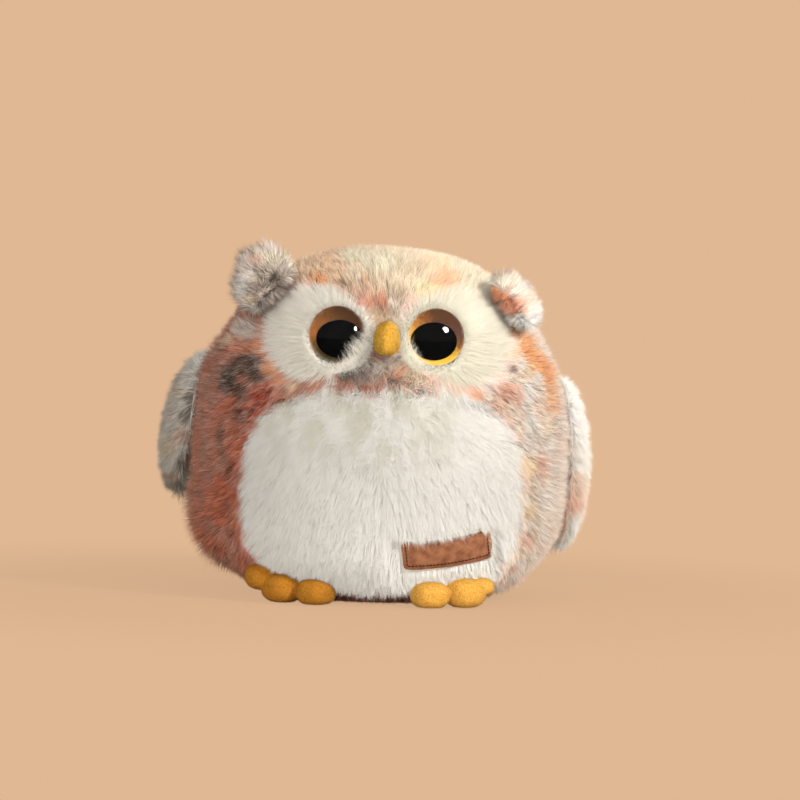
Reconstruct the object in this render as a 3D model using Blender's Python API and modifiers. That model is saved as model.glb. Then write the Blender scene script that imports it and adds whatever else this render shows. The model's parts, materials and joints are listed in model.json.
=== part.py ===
"""Plush owl: a ball-shaped body and head sewn from panels of fur fabric round one stuffing, with stuffed
wings and feet, two-layer ear tufts, a stuffed beak, clear safety eyes and a leather label.

Metres, +Z up. The owl faces -Y, so its left in a picture of its face is -X. The origin is the middle of
the flat base that it rests on. Every surface is taken over the pile of the fur.
"""

import math

import bmesh
import bpy
from mathutils import Matrix, Vector

# Fit between neighbouring pieces, and how far a cutting shape runs past what it cuts.
GAP = 0.0003
OVERRUN = 0.020
WELD_SHARE = 0.1

# Body and head, one rounded form.
BODY_HALF_WIDTH = 0.084
BODY_HALF_DEPTH = 0.076
BODY_TOP = 0.159
WIDEST_HEIGHT = 0.055
BODY_SINK = 0.003
HEAD_LEAN = 0.017
WIDTH_EXPONENT = 2.4
DEPTH_EXPONENT = 2.5
PLAN_EXPONENT = 2.2
BODY_SEGMENTS = 36
BODY_RINGS = 22

# Fur fabric of the panels and their seams.
PANEL_THICKNESS = 0.009
BASE_THICKNESS = 0.009
SIDE_SEAM_BACK = 0.012
CROWN_HALF_WIDTH = 0.028
CROWN_BOTTOM = 0.112

# White belly.
BELLY_HALF_WIDTH = 0.0635
BELLY_HALF_HEIGHT = 0.0455
BELLY_HEIGHT = 0.0495
BELLY_EXPONENT = 3.2
BELLY_DEPTH = 0.060

# White face discs.
DISC_OFFSET = 0.0305
DISC_HEIGHT = 0.1197
DISC_HALF_WIDTH = 0.0262
DISC_HALF_HEIGHT = 0.0230
DISC_EXPONENT = 2.2
DISC_DEPTH = 0.055

# Dark patch of fur under the beak, its middle just above the belly's upper edge.
CHIN_HALF_WIDTH = 0.027
CHIN_HALF_HEIGHT = 0.0100
CHIN_RISE = 0.0070
CHIN_EXPONENT = 2.0

# Safety eyes. Depths are measured along the eye's axis, down from the fur.
EYE_OFFSET = 0.0222
EYE_HEIGHT = 0.1205
EYE_TURN = math.radians(13.6)
EYE_LIFT = math.radians(8)
EYE_RADIUS = 0.0126
EYE_SEAT_DEPTH = 0.0055
EYE_CLEARANCE = 0.0004
IRIS_THICKNESS = 0.0015
SHANK_RADIUS = 0.0020
SHANK_LENGTH = 0.0120
PUPIL_RADIUS = 0.0089
PUPIL_THICKNESS = 0.0008
LENS_RIM = 0.0010
LENS_HEIGHT = 0.0075
WASHER_RADIUS = 0.0070
WASHER_THICKNESS = 0.0015
WASHER_SEAT_DEPTH = 0.0080
POCKET_DEPTH = 0.0200
EYE_STEPS = 28
DOME_POINTS = 6

# Beak.
BEAK_HEIGHT = 0.1192
BEAK_HALF_WIDTH = 0.0067
BEAK_HALF_HEIGHT = 0.0076
BEAK_REACH = 0.0110
BEAK_EXPONENT = 2.4
BEAK_TOP_SHARE = 0.74
BEAK_DROOP = 0.0020

# Ear tufts.
LEFT_EAR_RING_HEIGHT = 0.136
RIGHT_EAR_RING_HEIGHT = 0.134
LEFT_EAR_TURN = math.radians(38)
RIGHT_EAR_TURN = math.radians(37)
EAR_HALF_WIDTH = 0.0160
EAR_HEIGHT = 0.0185
EAR_ROOT_RADIUS = 0.0050
LEFT_EAR_INWARD_LEAN = math.radians(14)
RIGHT_EAR_INWARD_LEAN = math.radians(3)
EAR_HALF_THICKNESS = 0.0068
EAR_EXPONENT = 2.3
EAR_ROOT_EXPONENT = 4.0
EAR_TIP_SHARE = 0.90
EAR_CLEARANCE = 0.0006
LEFT_EAR_FOLD = math.radians(10)
RIGHT_EAR_FOLD = math.radians(90)

# Wings.
WING_HINGE_HEIGHT = 0.101
WING_BACK_TURN = math.radians(10)
WING_LENGTH = 0.080
WING_HALF_WIDTH = 0.027
WING_THICKNESS = 0.018
WING_FLATNESS = 0.85
WING_TIP_SHARE = 0.76
WING_FABRIC = 0.0045
WING_LINING = 0.0024
WING_CLEARANCE = 0.0004
LEFT_WING_SWEEP = math.radians(42)
RIGHT_WING_SWEEP = math.radians(6)
LEFT_WING_CANT = math.radians(15)
RIGHT_WING_CANT = math.radians(3)

# Feet, each three toes.
TOE_HALF_WIDTHS = (0.0080, 0.0086, 0.0070)
TOE_HALF_HEIGHTS = (0.0064, 0.0070, 0.0060)
TOE_HALF_LENGTH = 0.0094
TOE_EXPONENT = 2.3
TOE_OFFSETS = (-0.0144, 0.0, 0.0108)
TOE_REACHES = (0.0072, 0.0075, 0.0022)
TOE_RISES = (0.0, 0.0004, 0.0054)
TOE_SINK = 0.0005
LEFT_FOOT_TURN = math.radians(46)
RIGHT_FOOT_TURN = math.radians(40)

# Leather label and its thread.
PATCH_OFFSET = 0.0293
PATCH_HEIGHT = 0.0266
PATCH_HALF_WIDTH = 0.0200
PATCH_HALF_HEIGHT = 0.0073
PATCH_TILT = math.radians(8.5)
PATCH_THICKNESS = 0.0012
PATCH_DEPTH = 0.0030
PATCH_CORNER = 0.0012
CORNER_STEPS = 3
STITCH_MARGIN = 0.0018
STITCH_RADIUS = 0.00035
STITCH_SIDE_POINTS = 9
STITCH_END_POINTS = 4

# Faces of the small round forms.
SMALL_SEGMENTS = 16
SMALL_RINGS = 10
WING_RINGS = 12
OUTLINE_POINTS = 44

# Colour, roughness and metallic value of each finish.
FINISHES = {
    "cream_fur": ((0.86, 0.76, 0.62), 0.95, 0.0),
    "salmon_fur": ((0.80, 0.47, 0.38), 0.95, 0.0),
    "pink_fur": ((0.80, 0.62, 0.56), 0.95, 0.0),
    "dark_fur": ((0.32, 0.25, 0.23), 0.95, 0.0),
    "white_fur": ((0.90, 0.88, 0.84), 0.95, 0.0),
    "maroon_fur": ((0.24, 0.13, 0.11), 0.95, 0.0),
    "grey_fur": ((0.62, 0.60, 0.57), 0.95, 0.0),
    "gold_plush": ((0.80, 0.50, 0.10), 0.90, 0.0),
    "filling": ((0.92, 0.92, 0.90), 1.00, 0.0),
    "leather": ((0.42, 0.22, 0.12), 0.55, 0.0),
    "thread": ((0.10, 0.06, 0.04), 0.70, 0.0),
    "amber": ((0.72, 0.38, 0.06), 0.30, 0.0),
    "black_gloss": ((0.01, 0.01, 0.01), 0.08, 0.0),
    "clear": ((0.85, 0.85, 0.85), 0.03, 0.0),
    "washer_white": ((0.85, 0.85, 0.85), 0.40, 0.0),
}

SIDES = {"left": -1, "right": 1}


def clear_scene():
    """Removes every object, collection and material that the scene holds."""
    for blocks in (bpy.data.objects, bpy.data.meshes, bpy.data.curves, bpy.data.materials):
        for block in list(blocks):
            blocks.remove(block)
    for collection in list(bpy.data.collections):
        bpy.data.collections.remove(collection)


def new_collection(name):
    collection = bpy.data.collections.new(name)
    bpy.context.scene.collection.children.link(collection)
    return collection


def finish(name):
    """The material of this finish, made on first use."""
    if name in bpy.data.materials:
        return bpy.data.materials[name]
    colour, roughness, metallic = FINISHES[name]
    material = bpy.data.materials.new(name)
    material.use_nodes = True
    shader = material.node_tree.nodes["Principled BSDF"]
    shader.inputs["Base Color"].default_value = (*colour, 1)
    shader.inputs["Roughness"].default_value = roughness
    shader.inputs["Metallic"].default_value = metallic
    material.diffuse_color = (*colour, 1)
    return material


def add_object(name, data, finish_name=None):
    """An object of the owl, or a cutter when it has no finish."""
    thing = bpy.data.objects.new(name, data)
    if finish_name:
        bpy.data.collections["plush_owl"].objects.link(thing)
        data.materials.append(finish(finish_name))
    else:
        bpy.data.collections["cutters"].objects.link(thing)
        thing.hide_render = True
        thing.display_type = "WIRE"
    return thing


def mesh_from(name, build):
    """The mesh that build(bm) makes, shaded smooth where it is round."""
    mesh = bpy.data.meshes.new(name)
    bm = bmesh.new()
    build(bm)
    bmesh.ops.recalc_face_normals(bm, faces=bm.faces)
    bm.to_mesh(mesh)
    bm.free()
    mesh.shade_smooth()
    mesh.set_sharp_from_angle(angle=math.radians(40))
    return mesh


def sphere_mesh(name, segments, rings, place):
    """A unit sphere whose points place(point) moves."""

    def build(bm):
        bmesh.ops.create_uvsphere(bm, u_segments=segments, v_segments=rings, radius=1)
        for vertex in bm.verts:
            vertex.co = place(vertex.co)

    return mesh_from(name, build)


def boxed_size(*values, exponent):
    """How far these shares lie from the middle of a rounded box, its side being 1."""
    return sum(abs(value) ** exponent for value in values) ** (1 / exponent)


def boxed(point, exponent):
    """The unit sphere's point moved out onto the rounded box of this exponent."""
    return point / boxed_size(*point, exponent=exponent)


def prism_mesh(name, segments, place):
    """A unit cylinder, its ends at z = -1 and 1, whose points place(point) moves."""

    def build(bm):
        bmesh.ops.create_cone(
            bm, cap_ends=True, segments=segments, radius1=1, radius2=1, depth=2
        )
        for vertex in bm.verts:
            vertex.co = place(vertex.co)

    return mesh_from(name, build)


def box_mesh(name, low, high):
    """A box from its lowest corner to its highest."""

    def build(bm):
        bmesh.ops.create_cube(bm, size=1)
        middle = (Vector(low) + Vector(high)) / 2
        sides = Vector(high) - Vector(low)
        for vertex in bm.verts:
            vertex.co = Vector(vertex.co) * sides + middle

    return mesh_from(name, build)


def combine(thing, operation, other):
    """A live Boolean with another object."""
    modifier = thing.modifiers.new(other.name, "BOOLEAN")
    modifier.operation = operation
    modifier.object = other
    modifier.solver = "EXACT"


def powered(value, exponent):
    return math.copysign(abs(value) ** exponent, value)


def body_factors(t):
    """Width and depth at the height t, from 0 at the widest ring to 1 at the pole, as shares."""
    width = (1 - t**WIDTH_EXPONENT) ** (1 / WIDTH_EXPONENT)
    depth = (1 - t**DEPTH_EXPONENT) ** (1 / DEPTH_EXPONENT)
    return width, depth


def body_reach(upward, inset):
    """Height from the widest ring to the pole. The flat base keeps the underside's inset at zero."""
    return BODY_TOP - WIDEST_HEIGHT - inset if upward else WIDEST_HEIGHT + BODY_SINK


def body_point(direction, inset):
    """Where a point of the unit sphere goes on the body form that lies inset inside the fur."""
    flat = math.hypot(direction.x, direction.y)
    t = min(abs(direction.z) ** (2 / WIDTH_EXPONENT), 1)
    width, depth = body_factors(t)
    upward = direction.z > 0
    plan = Vector((direction.x / flat, direction.y / flat)) if flat else Vector((0, 0))
    return Vector(
        (
            (BODY_HALF_WIDTH - inset) * width * powered(plan.x, 2 / PLAN_EXPONENT),
            (BODY_HALF_DEPTH - inset) * depth * powered(plan.y, 2 / PLAN_EXPONENT)
            - (HEAD_LEAN * t**2 if upward else 0),
            WIDEST_HEIGHT + math.copysign(t, direction.z) * body_reach(upward, inset),
        )
    )


def front_point(x, z, inset):
    """The point on the front of the body form at this x and z."""
    upward = z > WIDEST_HEIGHT
    t = abs(z - WIDEST_HEIGHT) / body_reach(upward, inset)
    width, depth = body_factors(t)
    side_share = abs(x) / ((BODY_HALF_WIDTH - inset) * width)
    reach = (1 - side_share**PLAN_EXPONENT) ** (1 / PLAN_EXPONENT)
    lean = HEAD_LEAN * t**2 if upward else 0
    return Vector((x, -(BODY_HALF_DEPTH - inset) * depth * reach - lean, z))


def side_direction(height, turn, side):
    """The unit sphere's point that lands at this height, turned back from the side by an angle."""
    t = (height - WIDEST_HEIGHT) / body_reach(True, 0)
    rise = t ** (WIDTH_EXPONENT / 2)
    flat = math.sqrt(1 - rise**2)
    return Vector((side * flat * math.cos(turn), flat * math.sin(turn), rise))


def body_form(name, inset, finish_name=None):
    mesh = sphere_mesh(
        name, BODY_SEGMENTS, BODY_RINGS, lambda point: body_point(point, inset)
    )
    return add_object(name, mesh, finish_name)


def outline_cutter(name, middle, half_width, half_height, exponent, depth, grow):
    """A rounded outline in the front view, carried from in front of the owl back to this depth of it."""
    front = -BODY_HALF_DEPTH - HEAD_LEAN - OVERRUN
    back = front + OVERRUN + HEAD_LEAN + depth + grow

    def place(point):
        return Vector(
            (
                middle[0] + (half_width + grow) * powered(point.x, 2 / exponent),
                back if point.z < 0 else front,
                middle[1] + (half_height + grow) * powered(point.y, 2 / exponent),
            )
        )

    return add_object(name, prism_mesh(name, OUTLINE_POINTS, place))


def region_box(name, x_range, y_range, z_range):
    return add_object(name, box_mesh(name, *zip(x_range, y_range, z_range)))


def make_cutters():
    """The shapes that part the skin, each as it is and grown by the gap, and the room round the body."""
    wide = BODY_HALF_WIDTH + OVERRUN
    deep = BODY_HALF_DEPTH + HEAD_LEAN + OVERRUN
    high = BODY_TOP + OVERRUN
    chin_height = BELLY_HEIGHT + BELLY_HALF_HEIGHT + CHIN_RISE
    cutters = {
        "skin_inside": body_form("skin_inside", PANEL_THICKNESS),
        "round_body": body_form("round_body", -GAP),
        "ear_room": body_form("ear_room", -EAR_CLEARANCE),
        "wing_room": body_form("wing_room", -WING_CLEARANCE),
        "lining_inside": body_form("lining_inside", -WING_CLEARANCE - WING_LINING),
        "lining_room": body_form("lining_room", -WING_CLEARANCE - WING_LINING - GAP),
    }
    for kind, grow in (("", 0), ("_clear", GAP)):
        cutters["belly" + kind] = outline_cutter(
            "belly_cut" + kind, (0, BELLY_HEIGHT), BELLY_HALF_WIDTH, BELLY_HALF_HEIGHT,
            BELLY_EXPONENT, BELLY_DEPTH, grow,
        )
        cutters["chin" + kind] = outline_cutter(
            "chin_cut" + kind, (0, chin_height), CHIN_HALF_WIDTH, CHIN_HALF_HEIGHT,
            CHIN_EXPONENT, DISC_DEPTH, grow,
        )
        for side, sign in SIDES.items():
            cutters[side + "_disc" + kind] = outline_cutter(
                side + "_disc_cut" + kind, (sign * DISC_OFFSET, DISC_HEIGHT),
                DISC_HALF_WIDTH, DISC_HALF_HEIGHT, DISC_EXPONENT, DISC_DEPTH, grow,
            )
        cutters["crown" + kind] = region_box(
            "crown_cut" + kind,
            (-CROWN_HALF_WIDTH - grow, CROWN_HALF_WIDTH + grow),
            (-deep, deep),
            (CROWN_BOTTOM - grow, high),
        )
    floor = BASE_THICKNESS + GAP
    cutters["base"] = region_box("base_cut", (-wide, wide), (-deep, deep), (0, BASE_THICKNESS))
    cutters["above_base"] = region_box("above_base_cut", (-wide, wide), (-deep, deep), (floor, high))
    for side, sign in SIDES.items():
        across = sorted((sign * GAP / 2, sign * wide))
        cutters[side + "_side"] = region_box(
            side + "_side_cut", across, (-deep, SIDE_SEAM_BACK), (floor, high)
        )
        cutters[side + "_back"] = region_box(
            side + "_back_cut", across, (SIDE_SEAM_BACK + GAP, deep), (floor, high)
        )
    cutters["below_floor"] = region_box("below_floor_cut", (-wide, wide), (-deep, deep), (-OVERRUN, 0))
    return cutters


def make_panel(name, finish_name, regions, removed, cutters):
    """A panel of the skin: the body form where every region holds, hollowed, less its neighbours."""
    panel = body_form(name, 0, finish_name)
    for region in regions:
        combine(panel, "INTERSECT", cutters[region])
    for neighbour in removed:
        combine(panel, "DIFFERENCE", cutters[neighbour])


def make_skin(cutters):
    """The sewn panels, from those that keep their whole outline to those that fill in round them."""
    inside = ["skin_inside"]
    discs = ["left_disc_clear", "right_disc_clear"]
    white = ["belly_clear", *discs]
    make_panel("base_panel", "maroon_fur", ["base"], [], cutters)
    make_panel("belly_panel", "white_fur", ["belly", "above_base"], inside, cutters)
    for side in SIDES:
        make_panel(side + "_face_disc", "white_fur", [side + "_disc"], [*inside, "belly_clear"], cutters)
    make_panel("chin_panel", "dark_fur", ["chin"], [*inside, *white], cutters)
    make_panel("crown_panel", "cream_fur", ["crown"], [*inside, *white, "chin_clear"], cutters)
    for side in SIDES:
        make_panel(
            side + "_side_panel", "salmon_fur", [side + "_side"],
            [*inside, *white, "chin_clear", "crown_clear"], cutters,
        )
        make_panel(
            side + "_back_panel", "pink_fur", [side + "_back"], [*inside, "crown_clear"], cutters
        )


def make_stuffing(cutters):
    """The filling of body and head, flat over the base panel."""
    stuffing = body_form("stuffing", PANEL_THICKNESS + GAP, "filling")
    combine(stuffing, "INTERSECT", cutters["above_base"])


def turned(name, profile, steps, matrix, finish_name=None):
    """A profile of (radius, height) points turned about its axis, top to bottom down the outside."""
    mesh = bpy.data.meshes.new(name)
    mesh.from_pydata(
        [(radius, 0, height) for radius, height in profile],
        [(i, i + 1) for i in range(len(profile) - 1)],
        [],
    )
    thing = add_object(name, mesh, finish_name)
    thing.matrix_world = matrix
    screw = thing.modifiers.new("turn", "SCREW")
    screw.steps = steps
    screw.render_steps = steps
    screw.use_merge_vertices = True
    screw.merge_threshold = GAP * WELD_SHARE
    screw.use_smooth_shade = True
    return thing


def eye_frame(sign):
    """The eye's place: its origin on the fur and its +Z out along the eye's axis."""
    origin = front_point(sign * EYE_OFFSET, EYE_HEIGHT, 0)
    out = Vector(
        (
            sign * math.sin(EYE_TURN) * math.cos(EYE_LIFT),
            -math.cos(EYE_TURN) * math.cos(EYE_LIFT),
            math.sin(EYE_LIFT),
        )
    )
    return Matrix.Translation(origin) @ out.to_track_quat("Z", "Y").to_matrix().to_4x4()


def make_eye(side, sign):
    """Iris plate with its shank, pupil, clear dome and the washer behind the fabric."""
    frame = eye_frame(sign)
    seat = -EYE_SEAT_DEPTH
    iris_back = seat + GAP
    iris_front = iris_back + IRIS_THICKNESS
    turned(
        side + "_iris",
        [
            (0, iris_front),
            (EYE_RADIUS, iris_front),
            (EYE_RADIUS, iris_back),
            (SHANK_RADIUS, iris_back),
            (SHANK_RADIUS, iris_back - SHANK_LENGTH),
            (0, iris_back - SHANK_LENGTH),
        ],
        EYE_STEPS, frame, "amber",
    )
    pupil_back = iris_front + GAP
    pupil_front = pupil_back + PUPIL_THICKNESS
    turned(
        side + "_pupil",
        [(0, pupil_front), (PUPIL_RADIUS, pupil_front), (PUPIL_RADIUS, pupil_back), (0, pupil_back)],
        EYE_STEPS, frame, "black_gloss",
    )
    lens_back = iris_front + GAP
    rim_top = lens_back + LENS_RIM
    dome = []
    for i in range(DOME_POINTS):
        angle = math.pi / 2 * (1 - i / (DOME_POINTS - 1))
        dome.append((EYE_RADIUS * math.cos(angle), rim_top + LENS_HEIGHT * math.sin(angle)))
    dome[0] = (0, rim_top + LENS_HEIGHT)
    recess = PUPIL_RADIUS + GAP
    recess_top = pupil_front + GAP
    turned(
        side + "_lens",
        [*dome, (EYE_RADIUS, lens_back), (recess, lens_back), (recess, recess_top), (0, recess_top)],
        EYE_STEPS, frame, "clear",
    )
    washer_top = -WASHER_SEAT_DEPTH - GAP
    washer_bottom = washer_top - WASHER_THICKNESS
    bore = SHANK_RADIUS + GAP
    turned(
        side + "_eye_washer",
        [
            (bore, washer_top),
            (WASHER_RADIUS, washer_top),
            (WASHER_RADIUS, washer_bottom),
            (bore, washer_bottom),
            (bore, washer_top),
        ],
        EYE_STEPS, frame, "washer_white",
    )
    seat_cut = cylinder_cut(side + "_eye_seat", EYE_RADIUS + EYE_CLEARANCE, seat, OVERRUN, frame)
    shank_cut = cylinder_cut(
        side + "_shank_hole", SHANK_RADIUS + EYE_CLEARANCE, -POCKET_DEPTH, OVERRUN, frame
    )
    pocket_cut = cylinder_cut(
        side + "_washer_pocket", WASHER_RADIUS + EYE_CLEARANCE, -POCKET_DEPTH,
        -WASHER_SEAT_DEPTH, frame,
    )
    disc = bpy.data.objects[side + "_face_disc"]
    for cut in (seat_cut, shank_cut, pocket_cut):
        combine(disc, "DIFFERENCE", cut)
    combine(bpy.data.objects["stuffing"], "DIFFERENCE", pocket_cut)


def cylinder_cut(name, radius, low, high, frame):
    """A cutting cylinder along the frame's Z axis, from low to high."""

    def place(point):
        return Vector((point.x * radius, point.y * radius, high if point.z > 0 else low))

    cut = add_object(name, prism_mesh(name, EYE_STEPS, place))
    cut.matrix_world = frame
    return cut


def make_beak(cutters):
    """A stuffed egg, narrower above, its tip drooping, sewn on between the discs."""
    seat = front_point(0, BEAK_HEIGHT, 0)

    def place(point):
        spot = boxed(point, BEAK_EXPONENT)
        above = (1 + spot.z) / 2
        narrowed = 1 + (BEAK_TOP_SHARE - 1) * above
        droop = BEAK_DROOP * max(-spot.y, 0) ** 2
        return seat + Vector(
            (
                spot.x * BEAK_HALF_WIDTH * narrowed,
                spot.y * BEAK_REACH * narrowed,
                spot.z * BEAK_HALF_HEIGHT - droop,
            )
        )

    beak = add_object("beak", sphere_mesh("beak", SMALL_SEGMENTS, SMALL_RINGS, place), "gold_plush")
    combine(beak, "DIFFERENCE", cutters["round_body"])


def hinge_empty(name, matrix):
    empty = bpy.data.objects.new(name, None)
    bpy.data.collections["plush_owl"].objects.link(empty)
    empty.matrix_world = matrix
    return empty


def body_side_frame(direction):
    """A frame on the body's fur: Z along the surface normal, X round the body and Y up it."""
    origin = body_point(direction, 0)
    nudge = GAP / BODY_TOP
    above = body_point((direction + Vector((0, 0, nudge))).normalized(), 0)
    beside = body_point((direction + Vector((0, nudge, 0))).normalized(), 0)
    normal = (above - origin).cross(beside - origin).normalized()
    if normal.z < 0:
        normal = -normal
    edge = Vector((0, 1, 0)).cross(normal).normalized()
    back = normal.cross(edge)
    rotation = Matrix((edge, back, normal)).transposed().to_4x4()
    return Matrix.Translation(origin) @ rotation


def make_ear(side, ring_height, turn, inward_lean, fold, cutters):
    """An ear tuft of two layers of fabric, on a hinge along its sewn edge, folded back from upright."""
    frame = body_side_frame(side_direction(ring_height, -turn, SIDES[side]))
    rise = Matrix.Translation((0, 0, EAR_ROOT_RADIUS + EAR_CLEARANCE))
    hinge = hinge_empty(side + "_ear_hinge", frame @ rise @ Matrix.Rotation(-fold, 4, "X"))

    def place(point):
        exponent = EAR_EXPONENT if point.z > 0 else EAR_ROOT_EXPONENT
        outline = math.hypot(point.x, point.z)
        around = outline / boxed_size(point.x, point.z, exponent=exponent) if outline else 0
        share = point.z * around
        above = max(share, 0)
        height = share * (EAR_HEIGHT if share > 0 else EAR_ROOT_RADIUS)
        narrowed = 1 + (EAR_TIP_SHARE - 1) * above
        swell = EAR_ROOT_RADIUS + (EAR_HALF_THICKNESS - EAR_ROOT_RADIUS) * math.sin(math.pi * above)
        inward = -SIDES[side] * height * math.tan(inward_lean)
        return Vector((point.x * around * EAR_HALF_WIDTH * narrowed + inward, point.y * swell, height))

    reach = EAR_HEIGHT + OVERRUN
    for layer, y_low, y_high in (("front", -reach, -GAP / 2), ("back", GAP / 2, reach)):
        name = f"{side}_ear_{layer}"
        ear = add_object(name, sphere_mesh(name, SMALL_SEGMENTS, SMALL_RINGS, place), "grey_fur")
        half = region_box(name + "_half", (-reach, reach), (y_low, y_high), (-reach, reach))
        ear.parent = hinge
        half.parent = hinge
        combine(ear, "INTERSECT", half)
        combine(ear, "DIFFERENCE", cutters["ear_room"])


def wing_frame(sign, sweep, cant):
    """The wing's hinge: X out from the body, Z up the wing, Y along the sewn edge."""
    direction = side_direction(WING_HINGE_HEIGHT, WING_BACK_TURN, sign)
    origin = body_point(direction, 0)
    out = Vector((direction.x, direction.y, 0)).normalized()
    up = Matrix.Rotation(sign * sweep, 3, out) @ Vector((0, 0, 1))
    along = up.cross(out)
    rotation = Matrix((out, along, up)).transposed()
    canted = rotation @ Matrix.Rotation(-cant, 3, "Y")
    return Matrix.Translation(origin + out * WING_CLEARANCE) @ canted.to_4x4()


def wing_point(along, across, lift):
    """A point of the wing: down its length, across it, and out from the middle of its thickness."""
    half_length = WING_LENGTH / 2
    ring = math.sqrt(max(1 - (along / half_length) ** 2, 0))
    middle = WING_THICKNESS / 2 * WING_FLATNESS * ring
    hug = across**2 / (2 * BODY_HALF_WIDTH)
    return Vector((middle + lift - hug, across, along - half_length))


def wing_form(name, inset, hinge, finish_name=None):
    """A flat teardrop that hangs from the hinge, flat towards the body and full outside."""
    half_length = WING_LENGTH / 2

    def place(point):
        along = point.z * (half_length - inset)
        share = (1 - along / half_length) / 2
        narrowed = 1 + (WING_TIP_SHARE - 1) * share
        across = point.y * (WING_HALF_WIDTH * narrowed - inset)
        return wing_point(along, across, point.x * (WING_THICKNESS / 2 - inset))

    thing = add_object(name, sphere_mesh(name, SMALL_SEGMENTS, WING_RINGS, place), finish_name)
    thing.parent = hinge
    return thing


def wing_outside(name, lift, hinge):
    """The space outside the middle of the wing's thickness, raised by a small lift."""

    def place(point):
        along = point.z * (WING_LENGTH / 2 + OVERRUN)
        across = point.y * (WING_HALF_WIDTH + OVERRUN)
        return wing_point(along, across, max(point.x, 0) * (WING_THICKNESS + OVERRUN) + lift)

    space = add_object(name, sphere_mesh(name, SMALL_SEGMENTS, WING_RINGS, place))
    space.parent = hinge
    return space


def make_wing(side, sweep, cant, cutters):
    """Outer fabric, lining and stuffing of a wing, clear of the body by the wing's clearance."""
    hinge = hinge_empty(side + "_wing_hinge", wing_frame(SIDES[side], sweep, cant))
    hollow = wing_form(side + "_wing_hollow", WING_FABRIC, hinge)
    outer = wing_form(side + "_wing_outer", 0, hinge, "grey_fur")
    combine(outer, "INTERSECT", wing_outside(side + "_wing_outside", GAP / 2, hinge))
    combine(outer, "DIFFERENCE", hollow)
    combine(outer, "DIFFERENCE", cutters["wing_room"])
    lining_hollow = wing_form(side + "_lining_hollow", WING_FABRIC, hinge)
    combine(lining_hollow, "DIFFERENCE", cutters["lining_inside"])
    lining = wing_form(side + "_wing_lining", 0, hinge, "pink_fur")
    combine(lining, "DIFFERENCE", wing_outside(side + "_wing_seam", -GAP / 2, hinge))
    combine(lining, "DIFFERENCE", lining_hollow)
    combine(lining, "DIFFERENCE", cutters["wing_room"])
    stuffing = wing_form(side + "_wing_stuffing", WING_FABRIC + GAP, hinge, "filling")
    combine(stuffing, "DIFFERENCE", cutters["lining_room"])


def make_foot(side, turn, cutters):
    """Three stuffed toes in one, sewn round the lower edge of the body and flat where they stand."""
    sign = SIDES[side]
    toes = []
    sizes = zip(TOE_HALF_WIDTHS, TOE_HALF_HEIGHTS, TOE_OFFSETS, TOE_REACHES, TOE_RISES)
    for i, (half_width, half_height, toe_offset, toe_reach, toe_rise) in enumerate(sizes):
        middle_height = half_height - TOE_SINK + toe_rise
        radius = abs(front_point(0, middle_height, 0).y)
        angle = turn + toe_offset / radius
        seat = front_point(radius * math.sin(angle), middle_height, 0)
        heading = Vector((math.sin(angle), -math.cos(angle), 0))
        across = Vector((math.cos(angle), math.sin(angle), 0))
        middle = seat + heading * toe_reach

        def place(point, middle=middle, heading=heading, across=across, size=(half_width, half_height)):
            share = boxed(point, TOE_EXPONENT)
            spot = (
                middle
                + across * share.x * size[0]
                + heading * share.y * TOE_HALF_LENGTH
                + Vector((0, 0, share.z * size[1]))
            )
            return Vector((sign * spot.x, spot.y, spot.z))

        name = f"{side}_toe_{i}" if i else f"{side}_foot"
        mesh = sphere_mesh(name, SMALL_SEGMENTS, SMALL_RINGS, place)
        toes.append(add_object(name, mesh, None if i else "gold_plush"))
    foot = toes[0]
    for toe in toes[1:]:
        combine(foot, "UNION", toe)
    combine(foot, "DIFFERENCE", cutters["round_body"])
    combine(foot, "DIFFERENCE", cutters["below_floor"])


def patch_place(across, along, inset):
    """A point of the label, by its distance from the label's middle, on the belly."""
    x = PATCH_OFFSET + across * math.cos(PATCH_TILT) - along * math.sin(PATCH_TILT)
    z = PATCH_HEIGHT + across * math.sin(PATCH_TILT) + along * math.cos(PATCH_TILT)
    return front_point(x, z, inset)


def patch_cutter(name, grow):
    """The label's outline, carried back from in front of the owl."""

    def build(bm):
        bmesh.ops.create_cube(bm, size=2)
        for vertex in bm.verts:
            spot = patch_place(
                vertex.co.x * (PATCH_HALF_WIDTH + grow), vertex.co.z * (PATCH_HALF_HEIGHT + grow), 0
            )
            spot.y = 0 if vertex.co.y > 0 else -BODY_HALF_DEPTH - OVERRUN
            vertex.co = spot
        upright = [edge for edge in bm.edges if abs(edge.verts[0].co.y - edge.verts[1].co.y) > OVERRUN]
        bmesh.ops.bevel(
            bm, geom=upright, offset=PATCH_CORNER, segments=CORNER_STEPS, affect="EDGES", profile=0.5
        )

    return mesh_from(name, build)


def make_patch():
    """The label, sunk in the belly's fur, and the recess that it lies in."""
    patch = add_object("patch", patch_cutter("patch", 0), "leather")
    outside = body_form("patch_outside", PATCH_DEPTH)
    inside = body_form("patch_inside", PATCH_DEPTH + PATCH_THICKNESS)
    combine(patch, "INTERSECT", outside)
    combine(patch, "DIFFERENCE", inside)
    recess = add_object("patch_recess", patch_cutter("patch_recess", GAP))
    recess_floor = body_form("patch_recess_floor", PATCH_DEPTH + PATCH_THICKNESS + GAP)
    combine(recess, "DIFFERENCE", recess_floor)
    combine(bpy.data.objects["belly_panel"], "DIFFERENCE", recess)


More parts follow.
